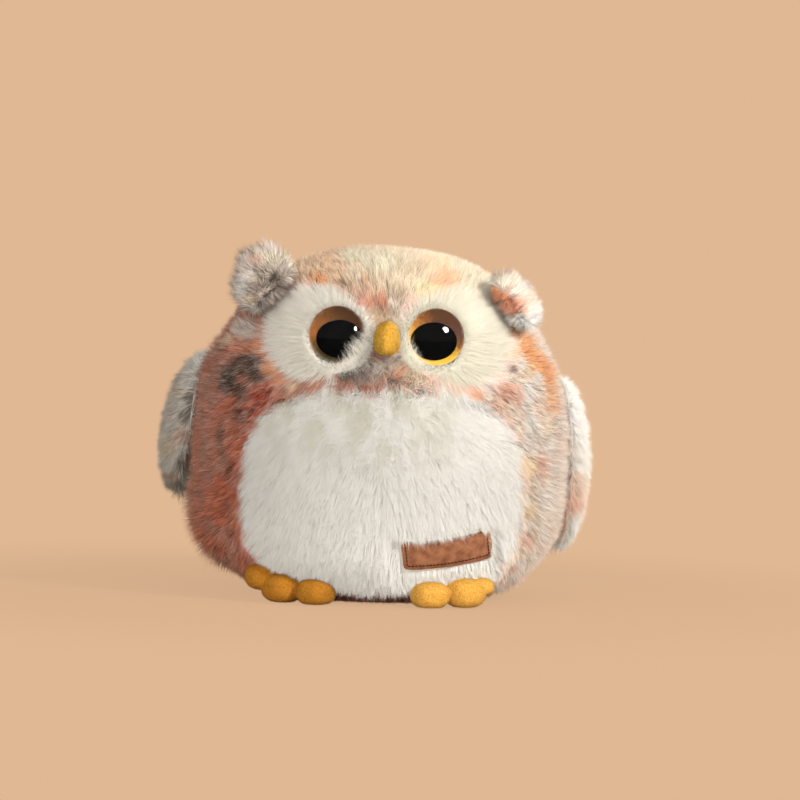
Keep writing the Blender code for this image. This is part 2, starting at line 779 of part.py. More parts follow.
def make_stitching():
    """One thread round the label, inside its edge and just over the leather."""
    half_width = PATCH_HALF_WIDTH - STITCH_MARGIN
    half_height = PATCH_HALF_HEIGHT - STITCH_MARGIN
    inset = PATCH_DEPTH - STITCH_RADIUS - GAP
    corners = [
        (-half_width, -half_height),
        (half_width, -half_height),
        (half_width, half_height),
        (-half_width, half_height),
    ]
    points = []
    for i, (start, end) in enumerate(zip(corners, corners[1:] + corners[:1])):
        steps = STITCH_END_POINTS if i % 2 else STITCH_SIDE_POINTS
        for k in range(steps):
            share = k / steps
            across = start[0] + (end[0] - start[0]) * share
            along = start[1] + (end[1] - start[1]) * share
            points.append(patch_place(across, along, inset))
    curve = bpy.data.curves.new("patch_stitching", "CURVE")
    curve.dimensions = "3D"
    spline = curve.splines.new("POLY")
    spline.points.add(len(points) - 1)
    for point, spot in zip(spline.points, points):
        point.co = (*spot, 1)
    spline.use_cyclic_u = True
    curve.bevel_depth = STITCH_RADIUS
    curve.bevel_resolution = 1
    add_object("patch_stitching", curve, "thread")


def main():
    clear_scene()
    new_collection("plush_owl")
    new_collection("cutters")
    cutters = make_cutters()
    make_skin(cutters)
    make_stuffing(cutters)
    make_patch()
    make_stitching()
    for side, sign in SIDES.items():
        make_eye(side, sign)
    make_beak(cutters)
    make_ear("left", LEFT_EAR_RING_HEIGHT, LEFT_EAR_TURN, LEFT_EAR_INWARD_LEAN, LEFT_EAR_FOLD, cutters)
    make_ear(
        "right", RIGHT_EAR_RING_HEIGHT, RIGHT_EAR_TURN, RIGHT_EAR_INWARD_LEAN, RIGHT_EAR_FOLD, cutters
    )
    make_wing("left", LEFT_WING_SWEEP, LEFT_WING_CANT, cutters)
    make_wing("right", RIGHT_WING_SWEEP, RIGHT_WING_CANT, cutters)
    make_foot("left", LEFT_FOOT_TURN, cutters)
    make_foot("right", RIGHT_FOOT_TURN, cutters)


main()
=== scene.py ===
import json
import math

import bmesh
import bpy
import numpy as np
from mathutils import Matrix

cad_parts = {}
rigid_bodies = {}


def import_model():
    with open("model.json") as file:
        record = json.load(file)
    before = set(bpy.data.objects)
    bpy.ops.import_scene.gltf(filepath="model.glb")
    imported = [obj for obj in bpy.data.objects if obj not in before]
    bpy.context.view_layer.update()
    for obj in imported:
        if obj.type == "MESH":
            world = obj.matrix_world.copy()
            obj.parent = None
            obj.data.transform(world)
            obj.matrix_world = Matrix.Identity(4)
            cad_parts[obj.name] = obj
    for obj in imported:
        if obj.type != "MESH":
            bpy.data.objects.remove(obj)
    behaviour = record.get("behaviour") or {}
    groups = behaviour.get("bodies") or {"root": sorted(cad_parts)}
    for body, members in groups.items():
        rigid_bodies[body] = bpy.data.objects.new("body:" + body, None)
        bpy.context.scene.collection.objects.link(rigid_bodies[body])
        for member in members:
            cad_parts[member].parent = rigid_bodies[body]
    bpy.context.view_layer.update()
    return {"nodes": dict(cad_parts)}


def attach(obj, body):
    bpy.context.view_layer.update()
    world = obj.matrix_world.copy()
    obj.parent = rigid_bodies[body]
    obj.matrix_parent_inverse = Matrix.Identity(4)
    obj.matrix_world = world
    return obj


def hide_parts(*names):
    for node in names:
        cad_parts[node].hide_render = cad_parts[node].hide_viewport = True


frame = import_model()

sides = {"left": -1, "right": 1}
mm = 0.001


# small tools for whole arrays

def unit(vectors):
    # each vector over its own length
    return vectors / np.maximum(np.linalg.norm(vectors, axis=-1, keepdims=True), 1e-12)


def dot(a, b):
    return np.sum(a * b, axis=-1, keepdims=True)


def smooth(low, high, values):
    # 0 below low, 1 above high, and an S curve between
    share = np.clip((values - low) / (high - low), 0, 1)
    return share * share * (3 - 2 * share)


def signedPower(values, power):
    return np.sign(values) * np.abs(values) ** power


def flatten(vectors, normals):
    # the part of each vector that lies along the surface
    return vectors - normals * dot(vectors, normals)


def xyz(x, y, z):
    # x, y and z, arrays or single numbers, side by side
    return np.stack(np.broadcast_arrays(x, y, z), -1)


def roundOff(t, power):
    # a rounded curve over t, 1 at its start and 0 at its end
    return (1 - t ** power) ** (1 / power)


def roundedReach(x, z, halfWidth, halfHeight, power):
    # under 1 inside the rounded outline, 1 on it
    return (np.abs(x / halfWidth) ** power + np.abs(z / halfHeight) ** power) ** (1 / power)


noiseTable = np.random.default_rng(11).random((32, 32, 32))


def softNoise(points, size, seed=0):
    # random numbers at the corners of cubes of this size, mixed smoothly between them, from 0 to 1
    spot = points / size + seed * 5.37
    cell = np.floor(spot).astype(int)
    share = spot - cell
    share = share * share * (3 - 2 * share)
    total = 0
    for corner in np.ndindex(2, 2, 2):
        weight = np.prod(np.where(corner, share, 1 - share), axis=-1)
        i, j, k = np.moveaxis((cell + corner) % 32, -1, 0)
        total = total + weight * noiseTable[i, j, k]
    return total


def fray(points, size, seed):
    # soft noise of its own for each axis, from -0.5 to 0.5
    return np.stack([softNoise(points, size, seed + k) - 0.5 for k in range(3)], -1)


tuftTable = np.random.default_rng(12).random((4096, 3))


def nearestTufts(points, spacing, seed=0):
    # cubes of this spacing hold one tuft each, at a random place in it; a point takes the nearest one
    cell = np.floor(points / spacing).astype(int)
    centre = np.zeros_like(points)
    found = np.zeros(len(points), int)
    nearest = np.full(len(points), np.inf)
    for offset in np.ndindex(3, 3, 3):
        near = cell + offset - 1
        key = (near[:, 0] * 73856093 ^ near[:, 1] * 19349663 ^ near[:, 2] * 83492791 ^ seed * 7919) & 4095
        place = (near + tuftTable[key]) * spacing
        distance = np.linalg.norm(points - place, axis=1)
        closer = distance < nearest
        centre[closer] = place[closer]
        found[closer] = key[closer]
        nearest[closer] = distance[closer]
    return centre, found


def directionsAt(u, v):
    # a turn of u and a rise of v from the lower pole to the upper one, as unit vectors
    turn, rise = 2 * np.pi * u, np.pi * v
    return xyz(np.sin(rise) * np.cos(turn), np.sin(rise) * np.sin(turn), -np.cos(rise))


def surfaceNormals(surface, directions, step=0.004):
    # the cross product of two short steps over the surface
    helper = np.where(np.abs(directions[..., 2:]) < 0.9, np.array([0, 0, 1.0]), np.array([1.0, 0, 0]))
    first = unit(np.cross(helper, directions))
    alongFirst, alongSecond = (
        surface(unit(directions + step * way)) - surface(unit(directions - step * way))
        for way in (first, np.cross(directions, first))
    )
    return unit(np.cross(alongFirst, alongSecond))


def scatter(surface, perArea, rng, rows=150, columns=240, pole=0.002):
    # random directions whose points lie evenly over the surface, so many to a square metre
    u, v = np.meshgrid(np.linspace(0, 1, columns + 1), np.linspace(pole, 1 - pole, rows + 1))
    grid = surface(directionsAt(u, v))
    across, up = grid[:-1, 1:] - grid[:-1, :-1], grid[1:, :-1] - grid[:-1, :-1]
    area = np.linalg.norm(np.cross(across, up), axis=-1).ravel()
    count = int(area.sum() * perArea)
    cell = np.searchsorted(np.cumsum(area) / area.sum(), rng.random(count))
    cell = np.minimum(cell, len(area) - 1)
    u = (cell % columns + rng.random(count)) / columns
    v = pole + (1 - 2 * pole) * (cell // columns + rng.random(count)) / rows
    return directionsAt(u, v)


# meshes from arrays

def meshFromTriangles(name, vertices, triangles):
    mesh = bpy.data.meshes.new(name)
    mesh.vertices.add(np.asarray(vertices).size // 3)
    setPoints(mesh, vertices)
    mesh.loops.add(triangles.size)
    mesh.loops.foreach_set("vertex_index", triangles.astype(np.int32).ravel())
    mesh.polygons.add(len(triangles))
    mesh.polygons.foreach_set("loop_start", np.arange(0, triangles.size, 3, dtype=np.int32))
    mesh.update(calc_edges=True)
    mesh.shade_smooth()
    return mesh


def setPoints(mesh, points):
    mesh.vertices.foreach_set("co", np.asarray(points, np.float32).ravel())


def pointsOf(mesh):
    points = np.zeros(len(mesh.vertices) * 3, np.float32)
    mesh.vertices.foreach_get("co", points)
    return points.reshape(-1, 3).astype(float)


def quadFaces(a, b, c, d):
    # two triangles for each quad, whose corners are given as four arrays
    return np.concatenate((np.stack((a, b, c), -1).reshape(-1, 3), np.stack((a, c, d), -1).reshape(-1, 3)))


def closedMesh(name, points):
    # rows of points that close round, with a fan at the first row and at the last
    rows, columns = points.shape[:2]
    index = np.arange(rows * columns).reshape(rows, columns)
    after = np.roll(index, -1, axis=1)
    faces = [
        quadFaces(index[:-1], after[:-1], after[1:], index[1:]),
        np.stack((np.full(columns, index.size), after[0], index[0]), -1),
        np.stack((np.full(columns, index.size + 1), index[-1], after[-1]), -1),
    ]
    vertices = np.concatenate((points.reshape(-1, 3), [points[0].mean(0)], [points[-1].mean(0)]))
    return meshFromTriangles(name, vertices, np.concatenate(faces))


def formMesh(name, surface, rows, columns):
    # the whole of a closed surface, pole to pole
    u, v = np.meshgrid(np.arange(columns) / columns, np.linspace(0, 1, rows + 2)[1:-1])
    return closedMesh(name, surface(directionsAt(u, v)))


def turnedMesh(name, profile, steps, place):
    # a profile of (radius, height) turned about the axis, from its foot up its outside to the top
    turn = 2 * np.pi * np.arange(steps) / steps
    radius, height = np.array(profile).T[:, :, None]
    return closedMesh(name, moved(xyz(radius * np.cos(turn), radius * np.sin(turn), height), place))


def moved(points, matrix):
    return points @ matrix[:3, :3].T + matrix[:3, 3]


def shift(x, y, z):
    matrix = np.eye(4)
    matrix[:3, 3] = x, y, z
    return matrix


def turnAbout(axis, angle):
    # the rotation about this axis by this angle, as a 4 by 4 matrix
    x, y, z = unit(np.array(axis, float))
    cross = np.array([[0, -z, y], [z, 0, -x], [-y, x, 0]])
    matrix = np.eye(4)
    matrix[:3, :3] += math.sin(angle) * cross + (1 - math.cos(angle)) * cross @ cross
    return matrix


def frameFrom(x, y, z, origin):
    matrix = np.eye(4)
    matrix[:3, 0], matrix[:3, 1], matrix[:3, 2], matrix[:3, 3] = x, y, z, origin
    return matrix


def addPiece(mesh, material, body, slotName, node):
    # an object named after its mesh
    piece = bpy.data.objects.new(mesh.name, mesh)
    bpy.context.scene.collection.objects.link(piece)
    mesh.materials.append(material)
    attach(piece, body)
    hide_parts(node)
    return piece


def setAttribute(mesh, name, kind, field, values):
    attribute = mesh.attributes.new(name, kind, "POINT")
    attribute.data.foreach_set(field, np.asarray(values, np.float32).ravel())


def colourVertices(mesh, tint):
    # one colour, or one for each vertex
    tint = np.broadcast_to(tint, (len(mesh.vertices), 3))
    setAttribute(mesh, "tint", "FLOAT_COLOR", "color", np.concatenate((tint, np.ones((len(tint), 1))), 1))


# the owl's forms, as its solids have them

owlForm = {
    "halfWidth": 84 * mm, "halfDepth": 76 * mm, "top": 159 * mm, "widest": 55 * mm, "sink": 3 * mm,
    "lean": 17 * mm, "widthPower": 2.4, "depthPower": 2.5, "planPower": 2.2,
}


def bodySurface(directions, inset=0.0):
    # rings of one rounded outline, narrowing towards the poles as rounded curves; the head leans forward
    f = owlForm
    up = directions[..., 2] > 0
    t = np.minimum(np.abs(directions[..., 2]) ** (2 / f["widthPower"]), 1)
    plan = signedPower(unit(directions[..., :2]), 2 / f["planPower"])
    lean = np.where(up, f["lean"] * t * t, 0)
    reach = np.where(up, f["top"] - f["widest"] - inset, f["widest"] + f["sink"])
    return xyz(
        (f["halfWidth"] - inset) * roundOff(t, f["widthPower"]) * plan[..., 0],
        (f["halfDepth"] - inset) * roundOff(t, f["depthPower"]) * plan[..., 1] - lean,
        f["widest"] + np.sign(directions[..., 2]) * t * reach,
    )


def bodyFront(x, z, inset=0.0):
    # the point on the front at this x and z
    f = owlForm
    up = z > f["widest"]
    away = np.where(up, f["top"] - f["widest"] - inset, f["widest"] + f["sink"])
    t = np.minimum(np.abs(z - f["widest"]) / away, 1)
    halfWidth = (f["halfWidth"] - inset) * np.maximum(roundOff(t, f["widthPower"]), 1e-6)
    reach = roundOff(np.minimum(np.abs(x) / halfWidth, 1), f["planPower"])
    lean = np.where(up, f["lean"] * t * t, 0)
    return xyz(x, -(f["halfDepth"] - inset) * roundOff(t, f["depthPower"]) * reach - lean, z)


def sideDirection(height, turn, side):
    # the direction whose point lies at this height, turned back from the side
    f = owlForm
    rise = ((height - f["widest"]) / (f["top"] - f["widest"])) ** (f["widthPower"] / 2)
    flat = math.sqrt(1 - rise * rise)
    return np.array([side * flat * math.cos(turn), flat * math.sin(turn), rise])


# colours of the dyed fur

def paint(red, green, blue):
    # a colour as it looks on a screen, 0 to 255, as the light values that a shader takes
    share = np.array([red, green, blue]) / 255
    return np.where(share <= 0.04045, share / 12.92, ((share + 0.055) / 1.055) ** 2.4)


dyes = {
    "white": paint(242, 240, 232),
    "cream": paint(242, 230, 204),
    "butter": paint(240, 222, 174),
    "peach": paint(246, 208, 172),
    "beige": paint(210, 190, 160),
    "moss": paint(176, 166, 138),
    "shell": paint(246, 226, 214),
    "blush": paint(240, 202, 184),
    "rose": paint(224, 156, 132),
    "salmon": paint(234, 140, 100),
    "apricot": paint(244, 158, 102),
    "clay": paint(214, 112, 80),
    "dusk": paint(188, 134, 114),
    "rust": paint(206, 74, 40),
    "maroon": paint(112, 50, 38),
    "brown": paint(86, 52, 38),
    "umber": paint(52, 34, 26),
    "slate": paint(102, 94, 88),
    "grey": paint(176, 168, 156),
}

# How the dyes lie: drifts of dye over the whole fur, each with how strongly it covers, the size of its noise
# and the values between which it comes in; the front's own ground, side by side, even or in clouds; the
# crown's; the edges of the patches; the fine flecks and frost; and painted light, which pales the crown and
# the picture's right. A pair of lengths is where a dye begins and where it is full.
dyeing = {
    "blur": 9 * mm, "ground": "blush",
    "drifts": [
        ("cream", 1, 26 * mm, 0.45, 0.62), ("salmon", 0.75, 23 * mm, 0.48, 0.76),
        ("grey", 0.5, 19 * mm, 0.58, 0.80), ("brown", 0.6, 14 * mm, 0.66, 0.84),
    ],
    "front": (14 * mm, -12 * mm), "cloudSize": 8 * mm, "cloud": (0.3, 0.7),
    "frontGround": [
        ("left", "clay", 0.85, False), ("left", "dusk", 0.8, True),
        ("right", "shell", 0.95, False), ("right", "blush", 0.7, True),
    ],
    "crownUp": (134 * mm, 148 * mm), "crownBack": (50 * mm, 20 * mm), "crownPeach": 0.85,
    "crownCream": 0.6, "creamAcross": (-30 * mm, -12 * mm),
    "frayed": 3.4 * mm, "frayReach": 4 * mm, "patchEdge": (0.6, 1.35), "patchDepth": 0.4,
    "fleckSize": 1.1 * mm, "fleck": (0.54, 0.76), "fleckShade": 0.5, "fleckAcross": (50 * mm, -30 * mm),
    # pale, paintedLightUp and paintedLightAcross: painted light, paler fur towards the crown and the
    # picture's right
    "paintedLightUp": (122 * mm, 148 * mm), "paintedLightAcross": (0, 50 * mm), "pale": (0.03, 0.12),
    "frostSize": 1.4 * mm, "frost": (0.50, 0.74), "frostCover": 0.5, "frostUp": (30 * mm, 100 * mm),
    "frostAcross": (-30 * mm, -55 * mm),
}

# Patches of dye as the front shows them, a few of them painted shadow: across and up from the owl's base,
# half width and half height in mm, the dye and how strongly it covers.
dyePatches = [
    # left brow, running up to the crown
    (-46, 138, 3.6, 2.7, "rose", 0.9), (-38, 142, 5.2, 3.0, "blush", 0.85),
    (-40, 140, 3, 1.4, "salmon", 0.8),
    (-31, 146, 4.6, 2.6, "apricot", 0.85), (-24, 147, 4.4, 2.4, "peach", 0.85),
    (-28, 151, 4.5, 2.2, "peach", 0.7), (-20, 144, 4.0, 1.0, "brown", 0.75),
    (-12, 144, 3.1, 1.1, "umber", 0.5), (-10, 146, 2.2, 1.4, "apricot", 0.6),
    (-16, 149, 3.1, 2.2, "cream", 0.7), (-7, 148, 2.7, 2.2, "beige", 0.6),
    (-55, 133, 3.6, 2.7, "dusk", 0.8), (-55, 128, 2.7, 3.1, "grey", 0.6),
    # crown
    (-4, 154, 9.9, 4.0, "cream", 0.9), (-16, 156, 9, 3, "cream", 0.8),
    (0, 158, 1.8, 0.9, "slate", 0.45), (6, 154, 5.0, 2.7, "moss", 0.2),
    (15, 152, 5.4, 3.6, "beige", 0.55), (24, 154, 7.0, 3.6, "peach", 0.7), (2, 144, 4.5, 2.7, "moss", 0.45),
    (6, 141, 3.1, 1.4, "brown", 0.55), (-2, 138, 3.6, 1.8, "rose", 0.5), (-7, 138, 2.7, 1.4, "rose", 0.6),
    (4, 138, 4.0, 1.4, "moss", 0.6), (1, 132, 2.0, 1.8, "brown", 0.8), (6, 135, 2.2, 2.7, "blush", 0.8),
    (-2, 134, 1.4, 1.8, "grey", 0.5), (27, 147, 7.4, 4.6, "apricot", 0.55),
    (18, 142, 6.8, 4.0, "butter", 0.8), (36, 148, 3.6, 2.7, "peach", 0.4),
    (35, 143, 4.5, 2.7, "cream", 0.6),
    # left side
    (-65, 121, 8.0, 5.5, "shell", 0.9), (-74, 112, 3.6, 6.3, "dusk", 0.8),
    (-68, 114, 6.3, 4.0, "salmon", 0.85), (-59, 112, 4.0, 4.0, "apricot", 0.7),
    (-72, 115, 4.7, 2.8, "peach", 0.8), (-63, 106, 7.5, 5.0, "brown", 1),
    (-71, 98, 6.0, 6.5, "umber", 1), (-60, 100, 5.0, 4.5, "umber", 0.85),
    (-66, 92, 5.5, 3.6, "umber", 0.85), (-65, 101, 3.6, 3.6, "brown", 0.85),
    (-76, 101, 3.1, 5.4, "dusk", 0.7), (-77, 88, 3.6, 6.3, "dusk", 0.75),
    (-53, 105, 4.0, 4.5, "apricot", 0.95), (-49, 99, 4.0, 3.1, "apricot", 0.9),
    (-43, 96, 3.6, 2.7, "peach", 0.9), (-47, 93, 3.6, 2.7, "rose", 0.8), (-54, 94, 3.6, 3.1, "rust", 0.95),
    (-58, 89, 4.0, 3.6, "rust", 1), (-60, 84, 4.0, 3.1, "rust", 0.9), (-65, 82, 4.2, 3.2, "maroon", 1),
    (-53, 90, 2.2, 1.8, "rust", 0.9), (-72, 82, 3.1, 3.6, "clay", 0.8), (-67, 78, 4.0, 3.6, "salmon", 0.55),
    (-61, 79, 3.1, 3.6, "clay", 0.9), (-65, 71, 5.0, 7.2, "clay", 0.95), (-73, 71, 2.2, 9.9, "brown", 0.85),
    (-80, 65, 3.6, 9.9, "dusk", 0.9), (-67, 60, 4.5, 6.3, "clay", 0.95),
    (-65, 55, 1.6, 4.0, "maroon", 0.55), (-73, 49, 4.5, 7.2, "clay", 0.95),
    (-81, 46, 3.6, 6.3, "dusk", 0.9), (-66, 45, 3.6, 6.3, "clay", 0.9), (-73, 37, 5.0, 5.4, "clay", 0.9),
    (-80, 34, 2.2, 3.6, "brown", 0.8), (-65, 35, 3.6, 5.4, "salmon", 0.6), (-76, 27, 3.6, 3.6, "dusk", 0.9),
    (-63, 27, 3.6, 4.0, "clay", 0.95), (-71, 21, 1.8, 3.1, "brown", 0.7), (-58, 25, 2.7, 4.0, "clay", 0.9),
    (-66, 16, 5.0, 3.1, "dusk", 0.8), (-59, 20, 2.7, 2.2, "rust", 0.5), (-59, 9, 6.3, 2.2, "brown", 0.7),
    (-70, 57, 1.8, 4.5, "brown", 0.75), (-70, 42, 1.4, 4.0, "maroon", 0.4),
    # chin and between the eyes
    # the brown at -8, 115 and the dusk at -10, 113, beside the beak, are painted shadow
    (-3, 124, 9, 11, "beige", 0.85), (-8, 115, 6, 7, "brown", 0.85), (-8, 103, 17, 6.5, "grey", 0.9),
    (9, 103, 10, 5.5, "beige", 0.8),
    (-14, 104, 5.9, 2.2, "slate", 0.95), (-17, 101, 4.0, 2.2, "slate", 0.9),
    (-9, 100, 3.1, 1.8, "slate", 0.8), (-7, 107, 2.7, 1.8, "umber", 0.6),
    (-10, 113, 2.7, 3.6, "dusk", 0.55), (2, 108, 2.2, 1.6, "umber", 0.7), (6, 106, 2.7, 1.8, "rose", 0.7),
    (4, 103, 3.6, 1.8, "salmon", 0.75), (4, 100, 3.1, 1.8, "brown", 0.9), (13, 103, 4.5, 2.2, "peach", 0.7),
    (8, 99, 3.1, 1.4, "dusk", 0.7), (-2, 101, 2.7, 1.8, "rose", 0.6), (-4, 104, 2.2, 1.4, "white", 0.5),
    (19, 103, 3.6, 2.2, "peach", 0.8),
    # right brow and side
    (44, 137, 5.0, 2.7, "apricot", 0.9), (51, 136, 4.0, 2.7, "salmon", 0.7),
    (59, 134, 4.0, 2.7, "dusk", 0.55), (60, 125, 4.5, 4.5, "apricot", 0.85),
    (65, 117, 6.0, 6.0, "apricot", 0.9), (70, 110, 6.0, 6.0, "apricot", 0.9),
    (75, 104, 5.5, 6.5, "apricot", 0.9), (66, 104, 2.7, 4.5, "peach", 0.8),
    (77, 92, 4.5, 8.2, "apricot", 0.75), (72, 88, 2.2, 5.4, "blush", 0.8), (75, 80, 2.2, 4.5, "peach", 0.6),
    (57, 106, 2.2, 2.7, "slate", 0.85), (63, 108, 2.2, 3.1, "white", 0.8),
    (60, 113, 2.7, 2.2, "peach", 0.6), (56, 114, 1.8, 2.2, "cream", 0.7),
    # right cheek
    (27, 101, 4.0, 2.2, "apricot", 0.7), (33, 97, 4.5, 2.2, "apricot", 0.8),
    (42, 94, 4.0, 2.2, "apricot", 0.85), (43, 93, 2.2, 1.1, "brown", 0.5), (48, 97, 2.2, 1.6, "brown", 0.6),
    (51, 90, 3.6, 3.6, "salmon", 0.4), (55, 96, 4.5, 4.5, "rose", 0.75), (61, 92, 3.1, 5.4, "rose", 0.6),
    (58, 83, 2.7, 4.0, "blush", 0.8),
    # right side
    (65, 95, 2.2, 5.4, "white", 0.8), (67, 82, 2.2, 6.3, "white", 0.75), (70, 76, 2.2, 2.7, "grey", 0.5),
    (57, 78, 1.6, 2.7, "slate", 0.85), (60, 71, 1.8, 2.7, "slate", 0.85), (60, 64, 2.2, 2.7, "salmon", 0.4),
    (67, 62, 4.6, 5.0, "peach", 0.85), (73, 63, 3.7, 6.4, "rose", 0.55), (61, 58, 1.4, 2.7, "slate", 0.85),
    (63, 53, 1.1, 2.2, "slate", 0.75), (61, 49, 1.4, 2.2, "slate", 0.8), (68, 52, 3.1, 3.6, "peach", 0.5),
    (61, 41, 1.4, 2.7, "slate", 0.8), (63, 35, 1.1, 2.7, "slate", 0.6), (67, 42, 4.2, 5.5, "peach", 0.8),
    (76, 48, 4, 7, "shell", 0.9),
    (71, 37, 1.8, 2.2, "grey", 0.7), (74, 31, 2.7, 3.6, "white", 0.7), (65, 28, 4.6, 4.6, "rose", 0.55),
    (66, 46, 1.8, 2.2, "white", 0.6), (59, 15, 3.1, 2.7, "rose", 0.6), (55, 10, 3.6, 2.2, "blush", 0.8),
    (43, 2, 5.4, 1.4, "dusk", 0.8), (63, 22, 3.6, 2.7, "peach", 0.5),
]

limbPatches = {
    "left_wing": [
        (-91, 97, 13.5, 6.3, "grey", 0.45), (-97, 84, 5.4, 13.5, "grey", 0.5),
        (-88, 86, 2.7, 4.5, "slate", 0.9), (-90, 77, 2.7, 4.0, "slate", 0.85),
        (-85, 91, 2.2, 3.1, "moss", 0.7), (-90, 67, 6.3, 5.0, "blush", 0.85),
        (-98, 61, 3.6, 5.4, "beige", 0.7), (-83, 72, 1.8, 6.3, "white", 0.7),
        (-90, 53, 4.0, 2.7, "slate", 0.85), (-95, 47, 5.4, 2.7, "dusk", 0.6),
        (-85, 55, 2.2, 4.5, "dusk", 0.8), (-93, 42, 7.2, 1.8, "slate", 0.6),
        (-100, 72, 2.7, 4.5, "grey", 0.5), (-94, 88, 3.1, 3.6, "beige", 0.5),
    ],
    "right_wing": [
        (86, 91, 9.9, 13.5, "white", 0.9), (82, 86, 1.8, 3.6, "grey", 0.7),
        (80, 93, 2.2, 3.6, "peach", 0.5), (88, 66, 6.3, 6.3, "shell", 0.6),
        # the umber strip at 80, 56 is painted shadow in the crevice between the wing and the body
        (84, 60, 2.7, 1.1, "brown", 0.8), (80, 56, 1.8, 3.6, "umber", 0.9), (84, 55, 3.6, 2.2, "clay", 0.6),
        (89, 46, 8.1, 9.9, "blush", 0.9), (88, 42, 4.5, 6.3, "salmon", 0.35),
        (82, 36, 4.5, 9.9, "rose", 0.7), (79, 25, 4.5, 3.6, "blush", 0.8), (92, 56, 2.2, 2.7, "rose", 0.4),
    ],
    "left_ear": [
        (-53, 147, 27.0, 22.5, "dusk", 0.35), (-51, 155, 10.8, 3.6, "cream", 0.9),
        (-39, 152, 4.0, 3.1, "cream", 0.85), (-59, 153, 4.0, 2.7, "blush", 0.9),
        (-66, 140, 3.6, 5.4, "white", 0.7), (-61, 135, 4.0, 2.7, "beige", 0.8),
        (-52, 144, 7.2, 4.5, "moss", 0.7), (-51, 143, 5.4, 3.1, "slate", 0.8),
        (-57, 139, 4.5, 2.7, "slate", 0.5), (-42, 148, 3.6, 2.7, "grey", 0.8),
        (-46, 138, 5.4, 2.2, "brown", 0.6), (-53, 150, 2.7, 1.8, "grey", 0.6),
    ],
    "right_ear": [
        (52, 143, 22.5, 13.5, "blush", 0.9), (50, 147, 9.9, 2.2, "cream", 0.7),
        # the slate strip at 49, 142 and the brown at 56, 140 are painted shade along the ear's fold at its
        # base
        (61, 143, 4.5, 3.6, "white", 0.5), (49, 142, 7.2, 0.9, "slate", 0.4),
        (56, 140, 3.6, 1.4, "brown", 0.5), (46, 139, 6, 3.4, "apricot", 0.9),
        (52, 135, 7.3, 4.6, "salmon", 0.8), (59, 134, 3.6, 2.7, "rose", 0.6),
        (63, 140, 3.6, 3.6, "blush", 0.6),
    ],
}


def mixIn(tint, dye, cover):
    return tint + (dye - tint) * np.clip(cover, 0, 1)[:, None]


def dyedFur(points):
    # one ground with drifts of the other dyes
    d = dyeing
    spot = points + fray(points, d["blur"], 1) * d["blur"]
    tint = np.broadcast_to(dyes[d["ground"]], points.shape)
    for seed, (dye, cover, size, low, high) in enumerate(d["drifts"], 4):
        tint = mixIn(tint, dyes[dye], cover * smooth(low, high, softNoise(spot, size, seed)))
    return tint


def patchedFur(points):
    # the drifts, then the front's own ground, then its patches in turn, with edges that the noise frays
    d = dyeing
    spot = points + fray(points, d["frayed"], 21) * d["frayReach"]
    x, y, z = spot.T
    front = smooth(*d["front"], y)
    cloud = smooth(*d["cloud"], softNoise(points, d["cloudSize"], 25))
    tint = dyedFur(points)
    for side, dye, cover, isCloud in d["frontGround"]:
        share = front * cloud if isCloud else front
        tint = mixIn(tint, dyes[dye], cover * share * (sides[side] * x > 0))
    crown = smooth(*d["crownUp"], z) * smooth(*d["crownBack"], y)
    tint = mixIn(tint, dyes["peach"], d["crownPeach"] * crown)
    tint = mixIn(tint, dyes["cream"], d["crownCream"] * crown * smooth(*d["creamAcross"], x))
    table = np.array([patch[:4] for patch in dyePatches]) * mm
    middles = bodyFront(table[:, 0], table[:, 1])
    for middle, (_, _, halfWidth, halfHeight), (*_, dye, cover) in zip(middles, table, dyePatches):
        away = spot - middle
        across = np.hypot(away[:, 0], away[:, 1] * d["patchDepth"]) / halfWidth
        reach = np.hypot(across, away[:, 2] / halfHeight)
        tint = mixIn(tint, dyes[dye], cover * (1 - smooth(*d["patchEdge"], reach)))
    return flecksAndPaintedLight(tint, points)


def limbFur(limb, points):
    # a wing's or ear's dyes, with the painted shade and light among them, from the front through to its back
    d = dyeing
    x, _, z = (points + fray(points, d["frayed"], 81) * d["frayReach"]).T / mm
    tint = np.broadcast_to(dyes["white"], points.shape)
    for across, up, halfWidth, halfHeight, dye, cover in limbPatches[limb]:
        reach = np.hypot((x - across) / halfWidth, (z - up) / halfHeight)
        tint = mixIn(tint, dyes[dye], cover * (1 - smooth(*d["patchEdge"], reach)))
    return flecksAndPaintedLight(tint, points)


def flecksAndPaintedLight(tint, points):
    # painted light: paler on the crown and the picture's right, where the light falls; fine dark flecks, and
    # on the left cheek fine pale ones
    d = dyeing
    x, _, z = points.T
    pale = d["pale"][0] * smooth(*d["paintedLightUp"], z) + d["pale"][1] * smooth(*d["paintedLightAcross"], x)
    dark = smooth(*d["fleck"], softNoise(points, d["fleckSize"], 24)) * smooth(*d["fleckAcross"], x)
    frost = smooth(*d["frost"], softNoise(points, d["frostSize"], 26)) * smooth(*d["frostUp"], z)
    tint = mixIn(tint, dyes["shell"], d["frostCover"] * frost * smooth(*d["frostAcross"], x))
    return tint * ((1 + pale) * (1 - d["fleckShade"] * dark))[:, None]


# materials

def nodeGroup(name, inputs, outputs):
    # the group, the outputs of its input node and the inputs of its output node
    group = bpy.data.node_groups.new(name, "ShaderNodeTree")
    for label, kind, value in inputs:
        socket = group.interface.new_socket(name=label, in_out="INPUT", socket_type=kind)
        socket.default_value = value
    for label, kind in outputs:
        group.interface.new_socket(name=label, in_out="OUTPUT", socket_type=kind)
    return group, group.nodes.new("NodeGroupInput").outputs, group.nodes.new("NodeGroupOutput").inputs


def feed(tree, inputs, values):
    # sets each input by its name: to a constant, or by a link from an output
    for name, value in values.items():
        if isinstance(value, bpy.types.NodeSocket):
            tree.links.new(value, inputs[name])
        else:
            inputs[name].default_value = value


